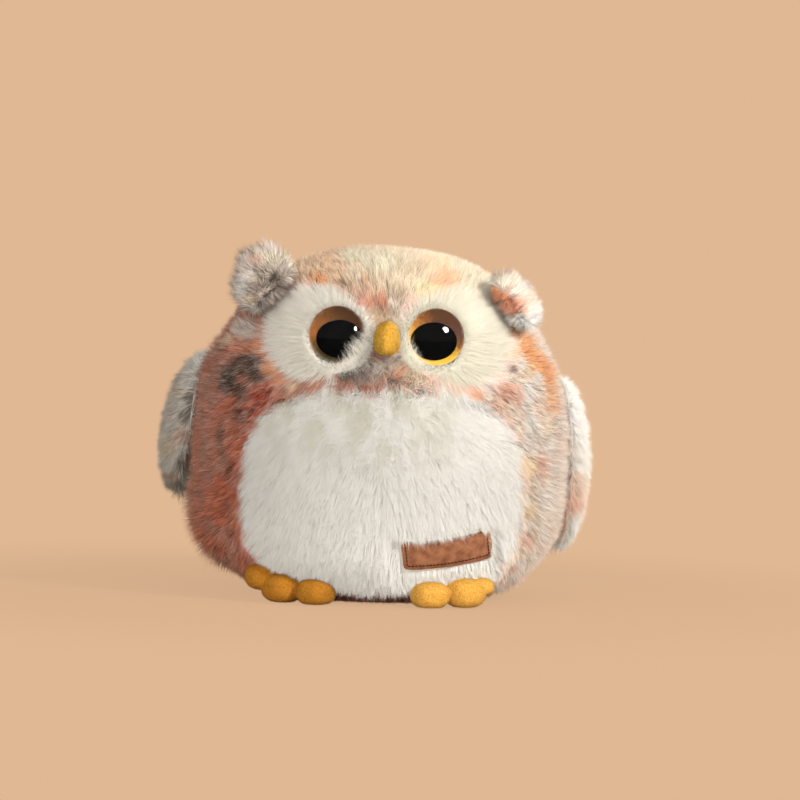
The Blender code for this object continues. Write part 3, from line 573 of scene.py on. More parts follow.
def addNode(tree, kind, settings=None, values=None):
    node = tree.nodes.new(kind)
    for name, value in (settings or {}).items():
        setattr(node, name, value)
    feed(tree, node.inputs, values or {})
    return node.outputs


def calculate(tree, operation, *values):
    return addNode(tree, "ShaderNodeMath", {"operation": operation}, dict(enumerate(values)))[0]


def mixColours(tree, share, a, b):
    return addNode(tree, "ShaderNodeMix", {"data_type": "RGBA"}, {"Factor": share, "A": a, "B": b})["Result"]


def attribute(tree, name, output):
    return addNode(tree, "ShaderNodeAttribute", {"attribute_name": name})[output]


def coordinates(tree):
    return addNode(tree, "ShaderNodeTexCoord")["Object"]


def makeFibreShading():
    # the colour along a fibre: painted shade deepening towards the root, paler at the tip, with small flecks
    # over the fur
    group, given, made = nodeGroup(
        "fibreShading",
        [
            ("Tint", "NodeSocketColor", (1, 1, 1, 1)), ("Along", "NodeSocketFloat", 0),
            ("Root Shade", "NodeSocketFloat", 0.6), ("Tip Frost", "NodeSocketFloat", 0.15),
            ("Frost Colour", "NodeSocketColor", (1, 0.96, 0.9, 1)),
            ("Fleck Size", "NodeSocketFloat", 700), ("Fleck Strength", "NodeSocketFloat", 0.12),
            ("Shaded Part", "NodeSocketFloat", 0.7), ("Frost Power", "NodeSocketFloat", 3),
        ],
        [("Colour", "NodeSocketColor")],
    )
    fleck = addNode(
        group, "ShaderNodeTexNoise",
        values={"Vector": coordinates(group), "Scale": given["Fleck Size"], "Detail": 2},
    )["Fac"]
    shade = addNode(
        group, "ShaderNodeMapRange", {"interpolation_type": "SMOOTHSTEP"},
        {"Value": given["Along"], "From Max": given["Shaded Part"], "To Min": given["Root Shade"]},
    )[0]
    centred = calculate(group, "SUBTRACT", fleck, 0.5)
    vary = calculate(group, "MULTIPLY_ADD", centred, given["Fleck Strength"], 1)
    darker = addNode(
        group, "ShaderNodeVectorMath", {"operation": "SCALE"},
        {0: given["Tint"], "Scale": calculate(group, "MULTIPLY", shade, vary)},
    )[0]
    tip = calculate(group, "POWER", given["Along"], given["Frost Power"])
    frost = calculate(group, "MULTIPLY", tip, given["Tip Frost"])
    feed(group, made, {"Colour": mixColours(group, frost, darker, given["Frost Colour"])})
    return group


fibreShading = makeFibreShading()
plain = (0.8, 0.8, 0.8)


def newMaterial(name, colour, roughness, specular=0.5, **constants):
    # a plain shader; constants gives its other inputs by name, with _ for a space
    material = bpy.data.materials.new(name)
    material.use_nodes = True
    inputs = material.node_tree.nodes["Principled BSDF"].inputs
    values = {"Base Color": (*colour, 1), "Roughness": roughness, "Specular IOR Level": specular}
    values.update({label.replace("_", " "): value for label, value in constants.items()})
    feed(material.node_tree, inputs, values)
    return material, material.node_tree, inputs


def addBump(tree, inputs, height, strength, distance):
    values = {"Height": height, "Strength": strength, "Distance": distance}
    bump = addNode(tree, "ShaderNodeBump", values=values)
    feed(tree, inputs, {"Normal": bump["Normal"]})


def furMaterial(name, rootShade, tipFrost, frostColour, fleckStrength):
    # fibres whose colour comes from the tint at their roots
    material, tree, inputs = newMaterial(name, plain, 0.75, 0.25)
    fibre = addNode(
        tree, "ShaderNodeGroup", {"node_tree": fibreShading},
        {
            "Tint": attribute(tree, "tint", "Color"), "Along": attribute(tree, "along", "Fac"),
            "Root Shade": rootShade, "Tip Frost": tipFrost, "Frost Colour": (*frostColour, 1),
            "Fleck Strength": fleckStrength,
        },
    )
    feed(tree, inputs, {"Base Color": fibre["Colour"]})
    return material


dyedFibre = furMaterial("dyed fur", 0.42, 0.20, paint(248, 218, 196), 0.10)
whiteFibre = furMaterial("white fur", 0.88, 0.20, (0.92, 0.92, 0.90), 0.04)
plushFibre = furMaterial("golden plush", 0.80, 0.30, paint(255, 222, 130), 0.06)


def clothMaterial(name):
    # knitted backing, seen only where the pile parts
    material, tree, inputs = newMaterial(name, plain, 0.95, 0.15)
    knit = addNode(tree, "ShaderNodeTexVoronoi", values={"Vector": coordinates(tree), "Scale": 900})
    addBump(tree, inputs, knit["Distance"], 0.4, 0.3 * mm)
    feed(tree, inputs, {"Base Color": attribute(tree, "tint", "Color")})
    return material


backingCloth = clothMaterial("knitted backing")


# strands of pile

# What all the fur shares: how much a strand twists, how large a lock of tufts is beside one tuft and how it
# draws them in, the furthest a strand lies down, the lowest point of any tip and the brightest dye.
pile = {
    "twist": 0.35, "lockSize": 2.7, "lockPull": 0.22, "mostLay": 1.15, "lowest": 0.3 * mm, "brightest": 0.96,
}
strandTotal = 0

strandCorners = np.array([(0, 1, 3), (1, 2, 3), (2, 0, 3), (0, 2, 1)])

# Where each corner lies in its strand's own small square of the bake map.
strandSquare = np.array([
    (.1, .2), (.35, .2), (.225, .9), (.35, .2), (.6, .2), (.475, .9),
    (.6, .2), (.85, .2), (.725, .9), (.1, .05), (.3, .05), (.2, .15),
])


def ownAxes(points):
    # how far each point lies along its sheet's longest way, then across it
    spread = points - points.mean(0)
    return spread @ np.linalg.svd(spread.T @ spread)[0][:, :2]


def mapOrder(roots, cells):
    # rows along the sheet's longest way, each sorted across it, so that neighbours on the fur are
    # neighbours on the bake map
    along, across = ownAxes(roots).T
    return np.lexsort((across, np.argsort(np.argsort(along)) // cells))


def strandMesh(name, roots, tips, normals, thickness, tint, shadeShare, rng):
    # a thin three-sided spike for each strand
    global strandTotal
    count = len(roots)
    cells = math.ceil(math.sqrt(count))
    order = mapOrder(roots, cells)
    roots, tips, normals, thickness, tint = (a[order] for a in (roots, tips, normals, thickness, tint))
    along = unit(tips - roots)
    side = unit(np.cross(along, normals + pile["twist"] * rng.normal(size=(count, 3))))
    other = np.cross(along, side)
    angles = np.pi * np.array([1 / 2, 7 / 6, 11 / 6])
    spokes = side[:, None] * np.cos(angles)[:, None] + other[:, None] * np.sin(angles)[:, None]
    feet = roots[:, None] + spokes * thickness[:, None, None] / 2
    outward = np.concatenate([spokes, along[:, None]], axis=1)
    triangles = (np.arange(count)[:, None, None] * 4 + strandCorners).reshape(-1, 3)
    mesh = meshFromTriangles(name, np.concatenate([feet, tips[:, None]], axis=1), triangles)
    shading = unit(outward * (1 - shadeShare) + normals[:, None] * shadeShare)
    setAttribute(mesh, "custom_normal", "FLOAT_VECTOR", "vector", shading)
    colourVertices(mesh, np.repeat(tint, 4, axis=0))
    setAttribute(mesh, "along", "FLOAT", "value", np.tile([0, 0, 0, 1], count))
    cell = np.stack((np.arange(count) % cells, np.arange(count) // cells), -1)
    layout = mesh.uv_layers.new(name="OFBake")
    layout.uv.foreach_set("vector", ((cell[:, None] + strandSquare) / cells).astype(np.float32).ravel())
    strandTotal += count
    print(f"{name}: {count} strands")
    return mesh


def growPile(roots, normals, comb, height, rough, coat, rng, seed):
    # strands rise from their roots, lean along the comb and draw together in tufts, which the light rounds
    tuft, key = nearestTufts(roots, coat["tuft"], seed)
    lock, lockKey = nearestTufts(roots, coat["tuft"] * pile["lockSize"], seed + 1)
    sway = flatten(tuftTable[(key * 7 + 3) & 4095] * 2 - 1, normals) * coat["tuftSway"]
    sway += flatten(tuftTable[(lockKey * 5 + 1) & 4095] * 2 - 1, normals) * coat["lockSway"]
    sway += flatten(rng.normal(size=roots.shape), normals) * coat["stray"]
    lay = flatten(comb, normals) + sway * rough[:, None]
    lean = np.radians(coat["lean"]) * np.minimum(np.linalg.norm(lay, axis=1), pile["mostLay"])
    way = normals * np.cos(lean)[:, None] + unit(lay) * np.sin(lean)[:, None]
    tall = height * (1 + coat["uneven"] * (tuftTable[key, 0] * 2 - 1))
    tall *= 1 - coat["ragged"] * rng.random(len(roots)) ** 2
    pull = flatten(tuft - roots, normals) * coat["gather"]
    pull += flatten(lock - roots, normals) * coat["gather"] * pile["lockPull"]
    tips = roots + way * (tall / np.cos(lean))[:, None] + pull
    tips[:, 2] = np.maximum(tips[:, 2], pile["lowest"])
    light = 1 + coat["tuftShade"] * (tuftTable[key, 1] * 2 - 1)
    light += coat["speckle"] * rng.normal(size=len(roots))
    swell = flatten(roots - tuft, normals) * (2 * coat["relief"] / coat["tuft"])
    return tips, light, unit(normals + swell)


def addCoat(
    names, body, slotName, node, material, roots, normals, comb, height, coat, colours, seed,
    rough=1, wider=1, turned=0, facing=None,
):
    # the pile of one panel, in as many pieces as there are names; colours gives the dye at the tips; the
    # comb, the height and what follows the seed are each one value for all strands, or one for each
    rng = np.random.default_rng(seed)
    rough = np.broadcast_to(rough, len(roots))
    tips, light, rounded = growPile(roots, normals, np.asarray(comb, float), height, rough, coat, rng, seed)
    facing = unit(rounded + turned) if facing is None else facing
    thickness = coat["thickness"] * (0.8 + 0.4 * rng.random(len(roots))) * wider
    tint = np.clip(colours(tips) * light[:, None], 0, pile["brightest"])
    order = np.argsort(ownAxes(roots)[:, 0])
    for name, share in zip(names, np.array_split(order, len(names))):
        mesh = strandMesh(
            name, roots[share], tips[share], facing[share], thickness[share], tint[share],
            coat["shadeShare"], rng,
        )
        addPiece(mesh, material, body, slotName, node)


def addBacking(mesh, body, slotName, node, tint):
    colourVertices(mesh, tint)
    return addPiece(mesh, backingCloth, body, slotName, node)


def addCloth(mesh, body, slotName, node, colours):
    # a backing with the thickness of cloth, laid inwards
    wall = addBacking(mesh, body, slotName, node, colours(pointsOf(mesh))).modifiers.new("cloth", "SOLIDIFY")
    wall.thickness, wall.offset = skin["cloth"], -1


# the skin of body and head

skin = {
    # outlines: across, up, half width, half height and power
    "belly": (0, 49.5 * mm, 63.5 * mm, 45.5 * mm, 3.2),
    "disc": (30.5 * mm, 119.7 * mm, 26.2 * mm, 23 * mm, 2.2),
    "chin": (0, 102 * mm, 27 * mm, 10 * mm, 2), "chinDye": (0, 100.6 * mm, 24 * mm, 6.8 * mm, 2),
    "crownHalfWidth": 28 * mm, "crownBottom": 112 * mm, "sideSeam": 12 * mm, "baseTop": 9 * mm,
    "ground": 4.8 * mm, "eyeWell": 8.3 * mm, "cloth": 0.6 * mm,
    "wobble": 2.4 * mm, "wobbleSize": 4 * mm, "raggedEdge": 0.5 * mm, "eyeEdge": 0.2 * mm,
    "labelEdge": 0.3 * mm, "clear": 0.1 * mm, "wellEdge": (0.6 * mm, 0.1 * mm),
    # wellRim, wellShade, whiteShade and dyedShade: painted shade, how much darker the ground shows near the
    # eyes, under white pile and under dyed pile
    "wellRim": (16 * mm, 14 * mm), "wellShade": 0.7, "whiteShade": 0.85, "dyedShade": 0.45,
}

eyes = {
    "offset": 22.2 * mm, "height": 120.5 * mm, "turn": math.radians(13.6), "lift": math.radians(8),
    "radius": 12.6 * mm, "seat": 5.5 * mm, "gap": 0.3 * mm, "iris": 1.5 * mm, "pupilRadius": 8.9 * mm,
    "pupilFlat": 0.80, "pupilDrop": 1.7 * mm, "pupilInward": 1.1 * mm, "pupil": 0.8 * mm, "rim": 1.0 * mm,
    "dome": 7.5 * mm,
}

beak = {
    "height": 119.2 * mm, "halfWidth": 6.7 * mm, "halfHeight": 7.6 * mm, "reach": 11 * mm,
    "power": 2.4, "topShare": 0.74, "droop": 2 * mm, "seamDepth": 0.25 * mm, "seamWidth": 0.16,
    "pile": 0.7 * mm, "keelHalfWidth": 0.8 * mm, "keel": 0.95,
}

label = {
    "offset": 29.3 * mm, "height": 26.6 * mm, "halfWidth": 20 * mm, "halfHeight": 7.3 * mm,
    "tilt": math.radians(8.5), "bend": 1.4 * mm, "thickness": 1.2 * mm, "depth": 3 * mm,
}


def reachOf(outline, x, z, sign=1):
    # under 1 inside one of the skin's outlines
    across, up, halfWidth, halfHeight, power = skin[outline]
    return roundedReach(x - sign * across, z - up, halfWidth, halfHeight, power)


def eyeFrame(sign):
    # on the fur at the eye, with Z out along its axis
    origin = bodyFront(sign * eyes["offset"], eyes["height"])
    out = np.array([
        sign * math.sin(eyes["turn"]) * math.cos(eyes["lift"]),
        -math.cos(eyes["turn"]) * math.cos(eyes["lift"]),
        math.sin(eyes["lift"]),
    ])
    across = unit(np.cross([0, 0, 1], out))
    return frameFrom(across, np.cross(out, across), out, origin)


def fromEye(points, sign):
    # how far each point is from the eye's axis, and the way straight out from that axis
    place = eyeFrame(sign)
    away = points - place[:3, 3]
    away = away - place[:3, 2] * dot(away, place[:3, 2])
    return np.linalg.norm(away, axis=-1), unit(away)


def onLabel(points):
    # across and along the label, from its middle, its ends bent up
    x, z = points[:, 0] - label["offset"], points[:, 2] - label["height"]
    turn = label["tilt"]
    across = x * math.cos(turn) + z * math.sin(turn)
    along = -x * math.sin(turn) + z * math.cos(turn)
    return across, along - label["bend"] * ((across / label["halfWidth"]) ** 2 - 0.4)


def whiteOutline(points, rng=None):
    # under 1 where the belly or a face disc shows, its edge uneven and, strand by strand, a little ragged
    wobble = fray(points, skin["wobbleSize"], 31) * skin["wobble"]
    if rng is not None:
        wobble += rng.normal(size=points.shape) * skin["raggedEdge"]
    x, y, z = (points + wobble).T
    disc = np.minimum(*(reachOf("disc", x, z, sign) for sign in sides.values()))
    disc[reachOf("chinDye", x, z) < 1] = np.inf
    return np.where(y > 0, np.inf, reachOf("belly", x, z)), np.where(y > 0, np.inf, disc)


def panelOf(points):
    # the name of the panel that each point of the body's surface lies in
    x, y, z = points.T
    panel = np.where(y < skin["sideSeam"], "side", "back").astype("U10")
    panel = np.char.add(np.where(x < 0, "left_", "right_"), panel)
    panel[(np.abs(x) < skin["crownHalfWidth"]) & (z > skin["crownBottom"])] = "crown"
    panel[(y < 0) & (reachOf("chin", x, z) < 1)] = "chin"
    belly, disc = whiteOutline(points)
    panel[(disc < 1) & (x < 0)] = "left_disc"
    panel[(disc < 1) & (x > 0)] = "right_disc"
    panel[belly < 1] = "belly"
    panel[z < skin["baseTop"]] = "base"
    return panel


# strands to a square millimetre
densities = {
    "belly": 7.6, "left_disc": 7.6, "right_disc": 7.6, "chin": 7.0, "crown": 5.2, "base": 1.2,
    "left_side": 4.7, "right_side": 4.7, "left_back": 1.8, "right_back": 1.8,
}


def frontShare(points):
    # the pile is sparser and its strands wider towards the back, which the face never shows
    return 1 - 0.5 * smooth(-30 * mm, 8 * mm, points[:, 1])


def bodyRoots():
    # roots over the whole body, thinned panel by panel, none under the eyes, the beak or the label
    rng = np.random.default_rng(21)
    most = max(densities.values())
    directions = scatter(bodySurface, most / mm ** 2, rng)
    fur = bodySurface(directions)
    x, y, z = fur.T
    panel = panelOf(fur)
    share = np.select([panel == name for name in densities], [densities[name] / most for name in densities])
    frontal = np.isin(panel, ["crown", "left_side", "right_side"])
    share = np.where(frontal, share * frontShare(fur), share)
    across, along = onLabel(fur)
    covered = (np.abs(across) < label["halfWidth"] + skin["labelEdge"])
    covered &= (np.abs(along) < label["halfHeight"] + skin["labelEdge"])
    covered |= roundedReach(x, z - beak["height"], beak["halfWidth"] * 0.8, beak["halfHeight"] * 0.9, 2) < 1
    for sign in sides.values():
        covered |= fromEye(fur, sign)[0] < eyes["radius"] + skin["eyeEdge"]
    keep = (rng.random(len(fur)) < share) & (z > pile["lowest"]) & (~covered | (y > 0))
    directions, fur, panel = directions[keep], fur[keep], panel[keep]
    return bodySurface(directions, skin["ground"]), fur, surfaceNormals(bodySurface, directions), panel


roots, furTops, furNormals, rootPanels = bodyRoots()
print(f"body: {len(roots)} roots")

# How the fur's length departs from the fabric's: across and up in mm on the front, half sizes, and the
# difference in mm.
lengthPatches = [
    (-80, 30, 16, 26, 4.5), (-24, 152, 18, 12, -1.8), (14, 156, 26, 9, -0.8), (74, 40, 12, 30, 1.0),
    (-72, 84, 10, 16, 1.2), (-62, 110, 9, 12, 1.4), (-50, 94, 10, 6, 1.2), (52, 93, 10, 7, 1.2),
    (-78, 104, 8, 20, 2.4), (79, 84, 7, 34, 2.4), (66, 12, 9, 8, 2.0),
]


def furLength(points):
    height = np.full(len(points), skin["ground"])
    for x, z, halfWidth, halfHeight, more in lengthPatches:
        away = (points - bodyFront(x * mm, z * mm)) / mm
        across = np.hypot(away[:, 0], away[:, 1] * combs["lengthDepth"]) / halfWidth
        reach = np.hypot(across, away[:, 2] / halfHeight)
        height = height + more * mm * (1 - smooth(*combs["lengthEdge"], reach))
    return height


def bellyComb(points, height):
    # down the front, fanning out a little at the edge, in streaks high up; clear of the label, over whose
    # top edge it falls
    c = combs
    x, _, z = points.T
    edge = reachOf("belly", x, z)
    outward = unit(xyz(x, 0, (z - skin["belly"][1]) * c["fanUp"]))
    high = smooth(*c["streaksUp"], z)
    fan, fanEdge, fanHigh = c["fan"]
    comb = [0, 0, -1] + outward * (fan + fanEdge * smooth(*c["bellyEdge"], edge) + fanHigh * high)[:, None]
    across, along = onLabel(points)
    gapAcross = np.abs(across) - label["halfWidth"]
    gapAlong = np.abs(along) - label["halfHeight"]
    gap = np.hypot(np.maximum(gapAcross, 0), np.maximum(gapAlong, 0))
    above = (along > label["halfHeight"]) & (gapAcross < 0)
    hang = (gap + (0.8 + 3.2 * softNoise(points, 2.6 * mm, 41)) * mm) / c["hang"]
    comb = np.where(above[:, None], comb * np.minimum(hang, 1)[:, None], comb)
    near = ~above * smooth(*c["besideLabel"], gap)
    away = xyz(across * (gapAcross > 0), 0, along * (gapAlong > 0))
    comb = comb + (comb * -0.4 + unit(away) * 0.5) * near[:, None]
    return comb, height * (1 - 0.5 * near), c["bellyRough"][0] + c["bellyRough"][1] * high


def discComb(points, height, sign):
    # straight out from the eye all round, short at the eye's rim
    distance, out = fromEye(points, sign)
    rise = smooth(*combs["eyeRim"], distance)
    least = combs["rimLength"]
    comb = out * (1.12 * rise - 0.12)[:, None] + np.outer(rise, [0, 0, -0.1])
    return comb, height * (least + (1 - least) * rise), 1


def combOf(panel, points, height):
    # which way each panel's fur lies, its length and how unruly it is
    c = combs
    x, y, z = points.T
    if panel == "belly":
        return bellyComb(points, height)
    if panel.endswith("disc"):
        return discComb(points, height, sides[panel.split("_")[0]])
    if panel == "crown":
        low = smooth(*c["crownUp"], z)
        comb = xyz(0.7 * x / skin["crownHalfWidth"], 0.8, 0.5) * (0.35 + 0.6 * low)[:, None]
        return comb, height * (0.9 + 0.1 * low), 1
    if panel.endswith("side"):
        high = smooth(*c["sideUp"], z)
        upright = smooth(*c["uprightAcross"], np.abs(x)) * (y < c["uprightBack"])
        comb = xyz(0, 0.3 + 0.5 * high, -0.75 + 1.1 * high) * (1 - 0.7 * upright)[:, None]
        return comb, height + c["uprightLonger"] * upright, 1
    way, rough = c[panel.split("_")[-1]]
    return way, height, rough


# How each panel's fur is combed: ways and roughness of the plain ones, and pairs of lengths between which a
# change comes in.
combs = {
    "chin": ((0, 0, -0.7), 1.5), "back": ((0, 0.2, -0.9), 1), "base": ((0, 0, -0.4), 1),
    "fan": (0.25, 0.45, 0.5), "fanUp": 0.4, "bellyEdge": (0.7, 1.0), "streaksUp": (52 * mm, 84 * mm),
    "bellyRough": (0.6, 1.9), "hang": 8 * mm, "besideLabel": (7 * mm, 1 * mm),
    "eyeRim": (eyes["radius"] + 0.5 * mm, eyes["radius"] + 5 * mm), "rimLength": 0.78,
    "crownUp": (124 * mm, 138 * mm), "sideUp": (100 * mm, 135 * mm), "uprightAcross": (66 * mm, 79 * mm),
    "uprightBack": 6 * mm, "uprightLonger": 1.6 * mm, "lengthDepth": 0.5, "lengthEdge": (0.35, 1.25),
}


def furColours(points, root, rng):
    # white in the belly and the discs as they show from the front, dyed everywhere else, dark at the base
    w = whites
    x, _, z = points.T
    low = smooth(*w["lowUp"], z) * smooth(*w["lowAcross"], np.abs(x))
    tint = mixIn(patchedFur(points), w["low"], w["lowCover"] * low)
    belly, disc = whiteOutline(points, rng)
    # the streaks' grey is partly the fur's own streaks and partly painted shade, heavier high up and to the
    # picture's left, away from the light
    high = smooth(*w["streakUp"], z) * smooth(*w["streakAcross"], x)
    streak = smooth(*w["streak"], softNoise(points * [1, 1, w["streakLong"]], w["streakSize"], 42))
    white = mixIn(w["belly"], w["shade"], (w["streakCover"][0] + w["streakCover"][1] * high) * streak)
    inBelly = (belly < 1) | ((root == "belly") & (z < w["bellyBottom"]))
    # rays of painted shade between the tufts round the left eye, on the shaded side
    ray = 0
    for sign in sides.values():
        distance, out = fromEye(points, sign)
        ray = ray + smooth(*w["rayReach"], distance) * softNoise(out * w["rayRing"] + sign, w["raySize"], 44)
    # painted shadow: brown on the fur beside and below the beak's left side
    inner = smooth(*w["beakShadowAcross"], x) * (x < 0) * smooth(*w["beakShadowUp"], z)
    face = np.where(x[:, None] < 0, w["leftDisc"], w["rightDisc"])
    face = mixIn(face, dyes["brown"], w["beakShadowCover"] * inner)
    face = mixIn(face, w["shade"], w["rayCover"] * smooth(*w["ray"], ray) * (x < 0))
    tint = np.where(inBelly[:, None], white, tint)
    return np.where(((disc < 1) & ~inBelly)[:, None], face, tint)


# The white fur's dyes; its streaks, partly painted shade; its rays round the left eye, painted shade; the
# brown between the eyes beside the beak, painted shadow; and the dark low fur. A pair of lengths is where a
# dye begins and where it is full.
whites = {
    "belly": paint(244, 243, 238), "shade": paint(212, 210, 190),
    "leftDisc": paint(238, 232, 220), "rightDisc": paint(230, 225, 206),
    "low": paint(150, 76, 62), "lowCover": 0.92, "lowUp": (12 * mm, 7 * mm), "lowAcross": (60 * mm, 34 * mm),
    "streakSize": 3.2 * mm, "streakLong": 0.35, "streak": (0.38, 0.72), "streakCover": (0.05, 0.60),
    "streakUp": (50 * mm, 80 * mm), "streakAcross": (55 * mm, 5 * mm), "bellyBottom": 14 * mm,
    "rayReach": (34 * mm, 24 * mm), "rayRing": 26 * mm, "raySize": 1.3 * mm, "ray": (0.45, 0.8),
    "rayCover": 0.45, "beakShadowAcross": (-17 * mm, -9 * mm), "beakShadowUp": (127 * mm, 118 * mm), "beakShadowCover": 0.5,
}

whiteCoat = {
    "tuft": 2.6 * mm, "tuftSway": 0.12, "lockSway": 0.16, "stray": 0.10, "lean": 56, "uneven": 0.06,
    "ragged": 0.28, "gather": 0.20, "relief": 0.08, "tuftShade": 0.02, "speckle": 0.03,
    "thickness": 0.195 * mm, "shadeShare": 0.84,
}
discCoat = {
    **whiteCoat, "tuft": 1.7 * mm, "tuftSway": 0.08, "lockSway": 0.04, "lean": 54, "relief": 0.22,
    "tuftShade": 0.05,
}
dyedCoat = {
    "tuft": 1.5 * mm, "tuftSway": 0.36, "lockSway": 0.30, "stray": 0.22, "lean": 42, "uneven": 0.22,
    "ragged": 0.42, "gather": 0.72, "relief": 0.50, "tuftShade": 0.30, "speckle": 0.21,
    "thickness": 0.245 * mm, "shadeShare": 0.64,
}
crownCoat = {
    **dyedCoat, "tuftSway": 0.24, "lockSway": 0.18, "lean": 48, "uneven": 0.16, "gather": 0.5,
    "relief": 0.34, "tuftShade": 0.14, "speckle": 0.12, "ragged": 0.35,
}
chinCoat = {**dyedCoat, "lean": 46}
backCoat = {**dyedCoat, "tuft": 2.0 * mm, "thickness": 0.34 * mm}
baseCoat = {**dyedCoat, "lean": 34, "uneven": 0.1, "thickness": 0.38 * mm}

# Each panel's node, slot, coat, how many pieces its pile is made in, and whether its fibres are white.
furPanels = {
    "belly": ("belly_panel", "white_fur", whiteCoat, 3, True),
    "left_disc": ("left_face_disc", "white_fur", discCoat, 1, True),
    "right_disc": ("right_face_disc", "white_fur", discCoat, 1, True),
    "chin": ("chin_panel", "dark_fur", chinCoat, 1, False),
    "crown": ("crown_panel", "cream_fur", crownCoat, 2, False),
    "left_side": ("left_side_panel", "salmon_fur", dyedCoat, 3, False),
    "right_side": ("right_side_panel", "salmon_fur", dyedCoat, 3, False),
    "left_back": ("left_back_panel", "pink_fur", backCoat, 2, False),
    "right_back": ("right_back_panel", "pink_fur", backCoat, 2, False),
    "base": ("base_panel", "maroon_fur", baseCoat, 1, False),
}


# where the fur turns towards the light, and which way
lightTurns = [((62 * mm, 8 * mm), (0, -0.3, 0.9)), ((132 * mm, 154 * mm), (0.15, -0.6, 0.05))]


def towardsLight(points):
    # the fur turned under the body and over the crown still catches the light, as long fur does
    return sum(np.outer(smooth(*heights, points[:, 2]), way) for heights, way in lightTurns)


def makeFur():
    for seed, (panel, (node, slotName, coat, pieces, isWhite)) in enumerate(furPanels.items(), 51):
        mine = rootPanels == panel
        points = furTops[mine]
        comb, height, rough = combOf(panel, points, furLength(points))
        wider = 1 if coat in (backCoat, baseCoat) else 1 / np.sqrt(frontShare(points))
        rng = np.random.default_rng(seed + 100)
        addCoat(
            [f"{panel}_fur_{k + 1}" for k in range(pieces)], "body", slotName, node,
            whiteFibre if isWhite else dyedFibre, roots[mine], furNormals[mine], comb, height, coat,
            lambda tips: furColours(tips, panel, rng), seed, rough=rough, wider=wider,
            turned=towardsLight(points) * (panel != "base"),
        )


makeFur()

# the long fur that falls over the lower inner edge of each eye

lidCoat = {
    "thickness": 0.15 * mm, "from": 14.0 * mm, "to": 19.5 * mm, "ringShare": 0.35, "overRim": 0.9 * mm,
    "overDome": 0.7 * mm, "lift": 0.4 * mm, "turned": 0.18, "stray": 0.16, "shadeShare": 0.85,
}

# The fur that falls over each eye's lower inner edge, then the short fur round its rim: how many strands,
# between which turns about the eye in degrees from its right, and how far in they reach.
lids = {
    "left": [(460, -84, 2, 8 * mm), (900, 0, 360, 2.6 * mm)],
    "right": [(380, -170, -112, 4 * mm), (900, 0, 360, 2.6 * mm)],
}


def domeHeight(distance):
    # how far the clear dome stands over the fur's surface, this far from the eye's axis
    e = eyes
    foot = -e["seat"] + 2 * e["gap"] + e["iris"] + e["rim"]
    return foot + e["dome"] * np.sqrt(np.maximum(1 - (distance / e["radius"]) ** 2, 0))


def lidStrands(side, count, low, high, reachIn, rng):
    # from the fur beside the eye, in over its dome; a whole ring keeps to the rim
    c, sign, place, ring = lidCoat, sides[side], eyeFrame(sides[side]), high - low == 360
    turn = np.radians(low + (high - low) * rng.random(count))
    share = np.ones(count) if ring else np.sin(np.pi * (np.degrees(turn) - low) / (high - low))
    distance = c["from"] + (c["to"] - c["from"]) * (c["ringShare"] if ring else 1) * rng.random(count)
    foot = moved(xyz(np.cos(turn) * distance, np.sin(turn) * distance, 0), place)
    starts = bodyFront(foot[:, 0], foot[:, 2], skin["ground"])
    inner = distance - reachIn * (0.35 + 0.65 * share) * (0.6 + 0.5 * rng.random(count))
    if ring:
        inner = np.maximum(inner, eyes["radius"] - c["overRim"])
    bent = turn + c["stray"] * rng.normal(size=count) - sign * c["turned"] * (not ring)
    lift = np.maximum(domeHeight(inner) + c["overDome"], 0.5 * mm * (not ring))
    lift = lift + c["lift"] * rng.random(count)
    return starts, moved(xyz(np.cos(bent) * inner, np.sin(bent) * inner, lift), place)


def makeEyelids():
    for side, sign in sides.items():
        rng = np.random.default_rng(140 + sign)
        parts = [lidStrands(side, *row, rng) for row in lids[side]]
        starts, ends = (np.concatenate(part) for part in zip(*parts))
        count = len(starts)
        facing = np.broadcast_to(eyeFrame(sign)[:3, 2], starts.shape)
        thickness = lidCoat["thickness"] * (0.8 + 0.4 * rng.random(count))
        tint = whites[side + "Disc"] * (0.96 + 0.04 * rng.random((count, 1)))
        mesh = strandMesh(
            side + "_eyelid_fur", starts, ends, facing, thickness, tint, lidCoat["shadeShare"], rng
        )
        addPiece(mesh, whiteFibre, "body", "white_fur", side + "_face_disc")


makeEyelids()

# the ground of the pile, and the filling


def groundInset(points):
    # the ground's depth under the fur's surface, deeper round each eye, which is set into it
    depth = np.full(points.shape[:-1], skin["ground"] + skin["clear"])
    for sign in sides.values():
        well = smooth(*skin["wellEdge"], fromEye(points, sign)[0] - eyes["radius"]) * (points[..., 1] < 0)
        depth = depth + well * (skin["eyeWell"] - skin["ground"])
    return depth


def cutForm(name, extra, planes):
    # the ground all round, cut by planes of (point, normal), each taking off what lies beyond it
    mesh = formMesh(name, lambda d: bodySurface(d, groundInset(bodySurface(d)) + extra), 110, 160)
    bm = bmesh.new()
    bm.from_mesh(mesh)
    for point, normal in planes:
        bmesh.ops.bisect_plane(
            bm, geom=[*bm.verts, *bm.edges, *bm.faces], plane_co=point, plane_no=normal, clear_outer=True
        )
    bm.to_mesh(mesh)
    bm.free()
    return mesh


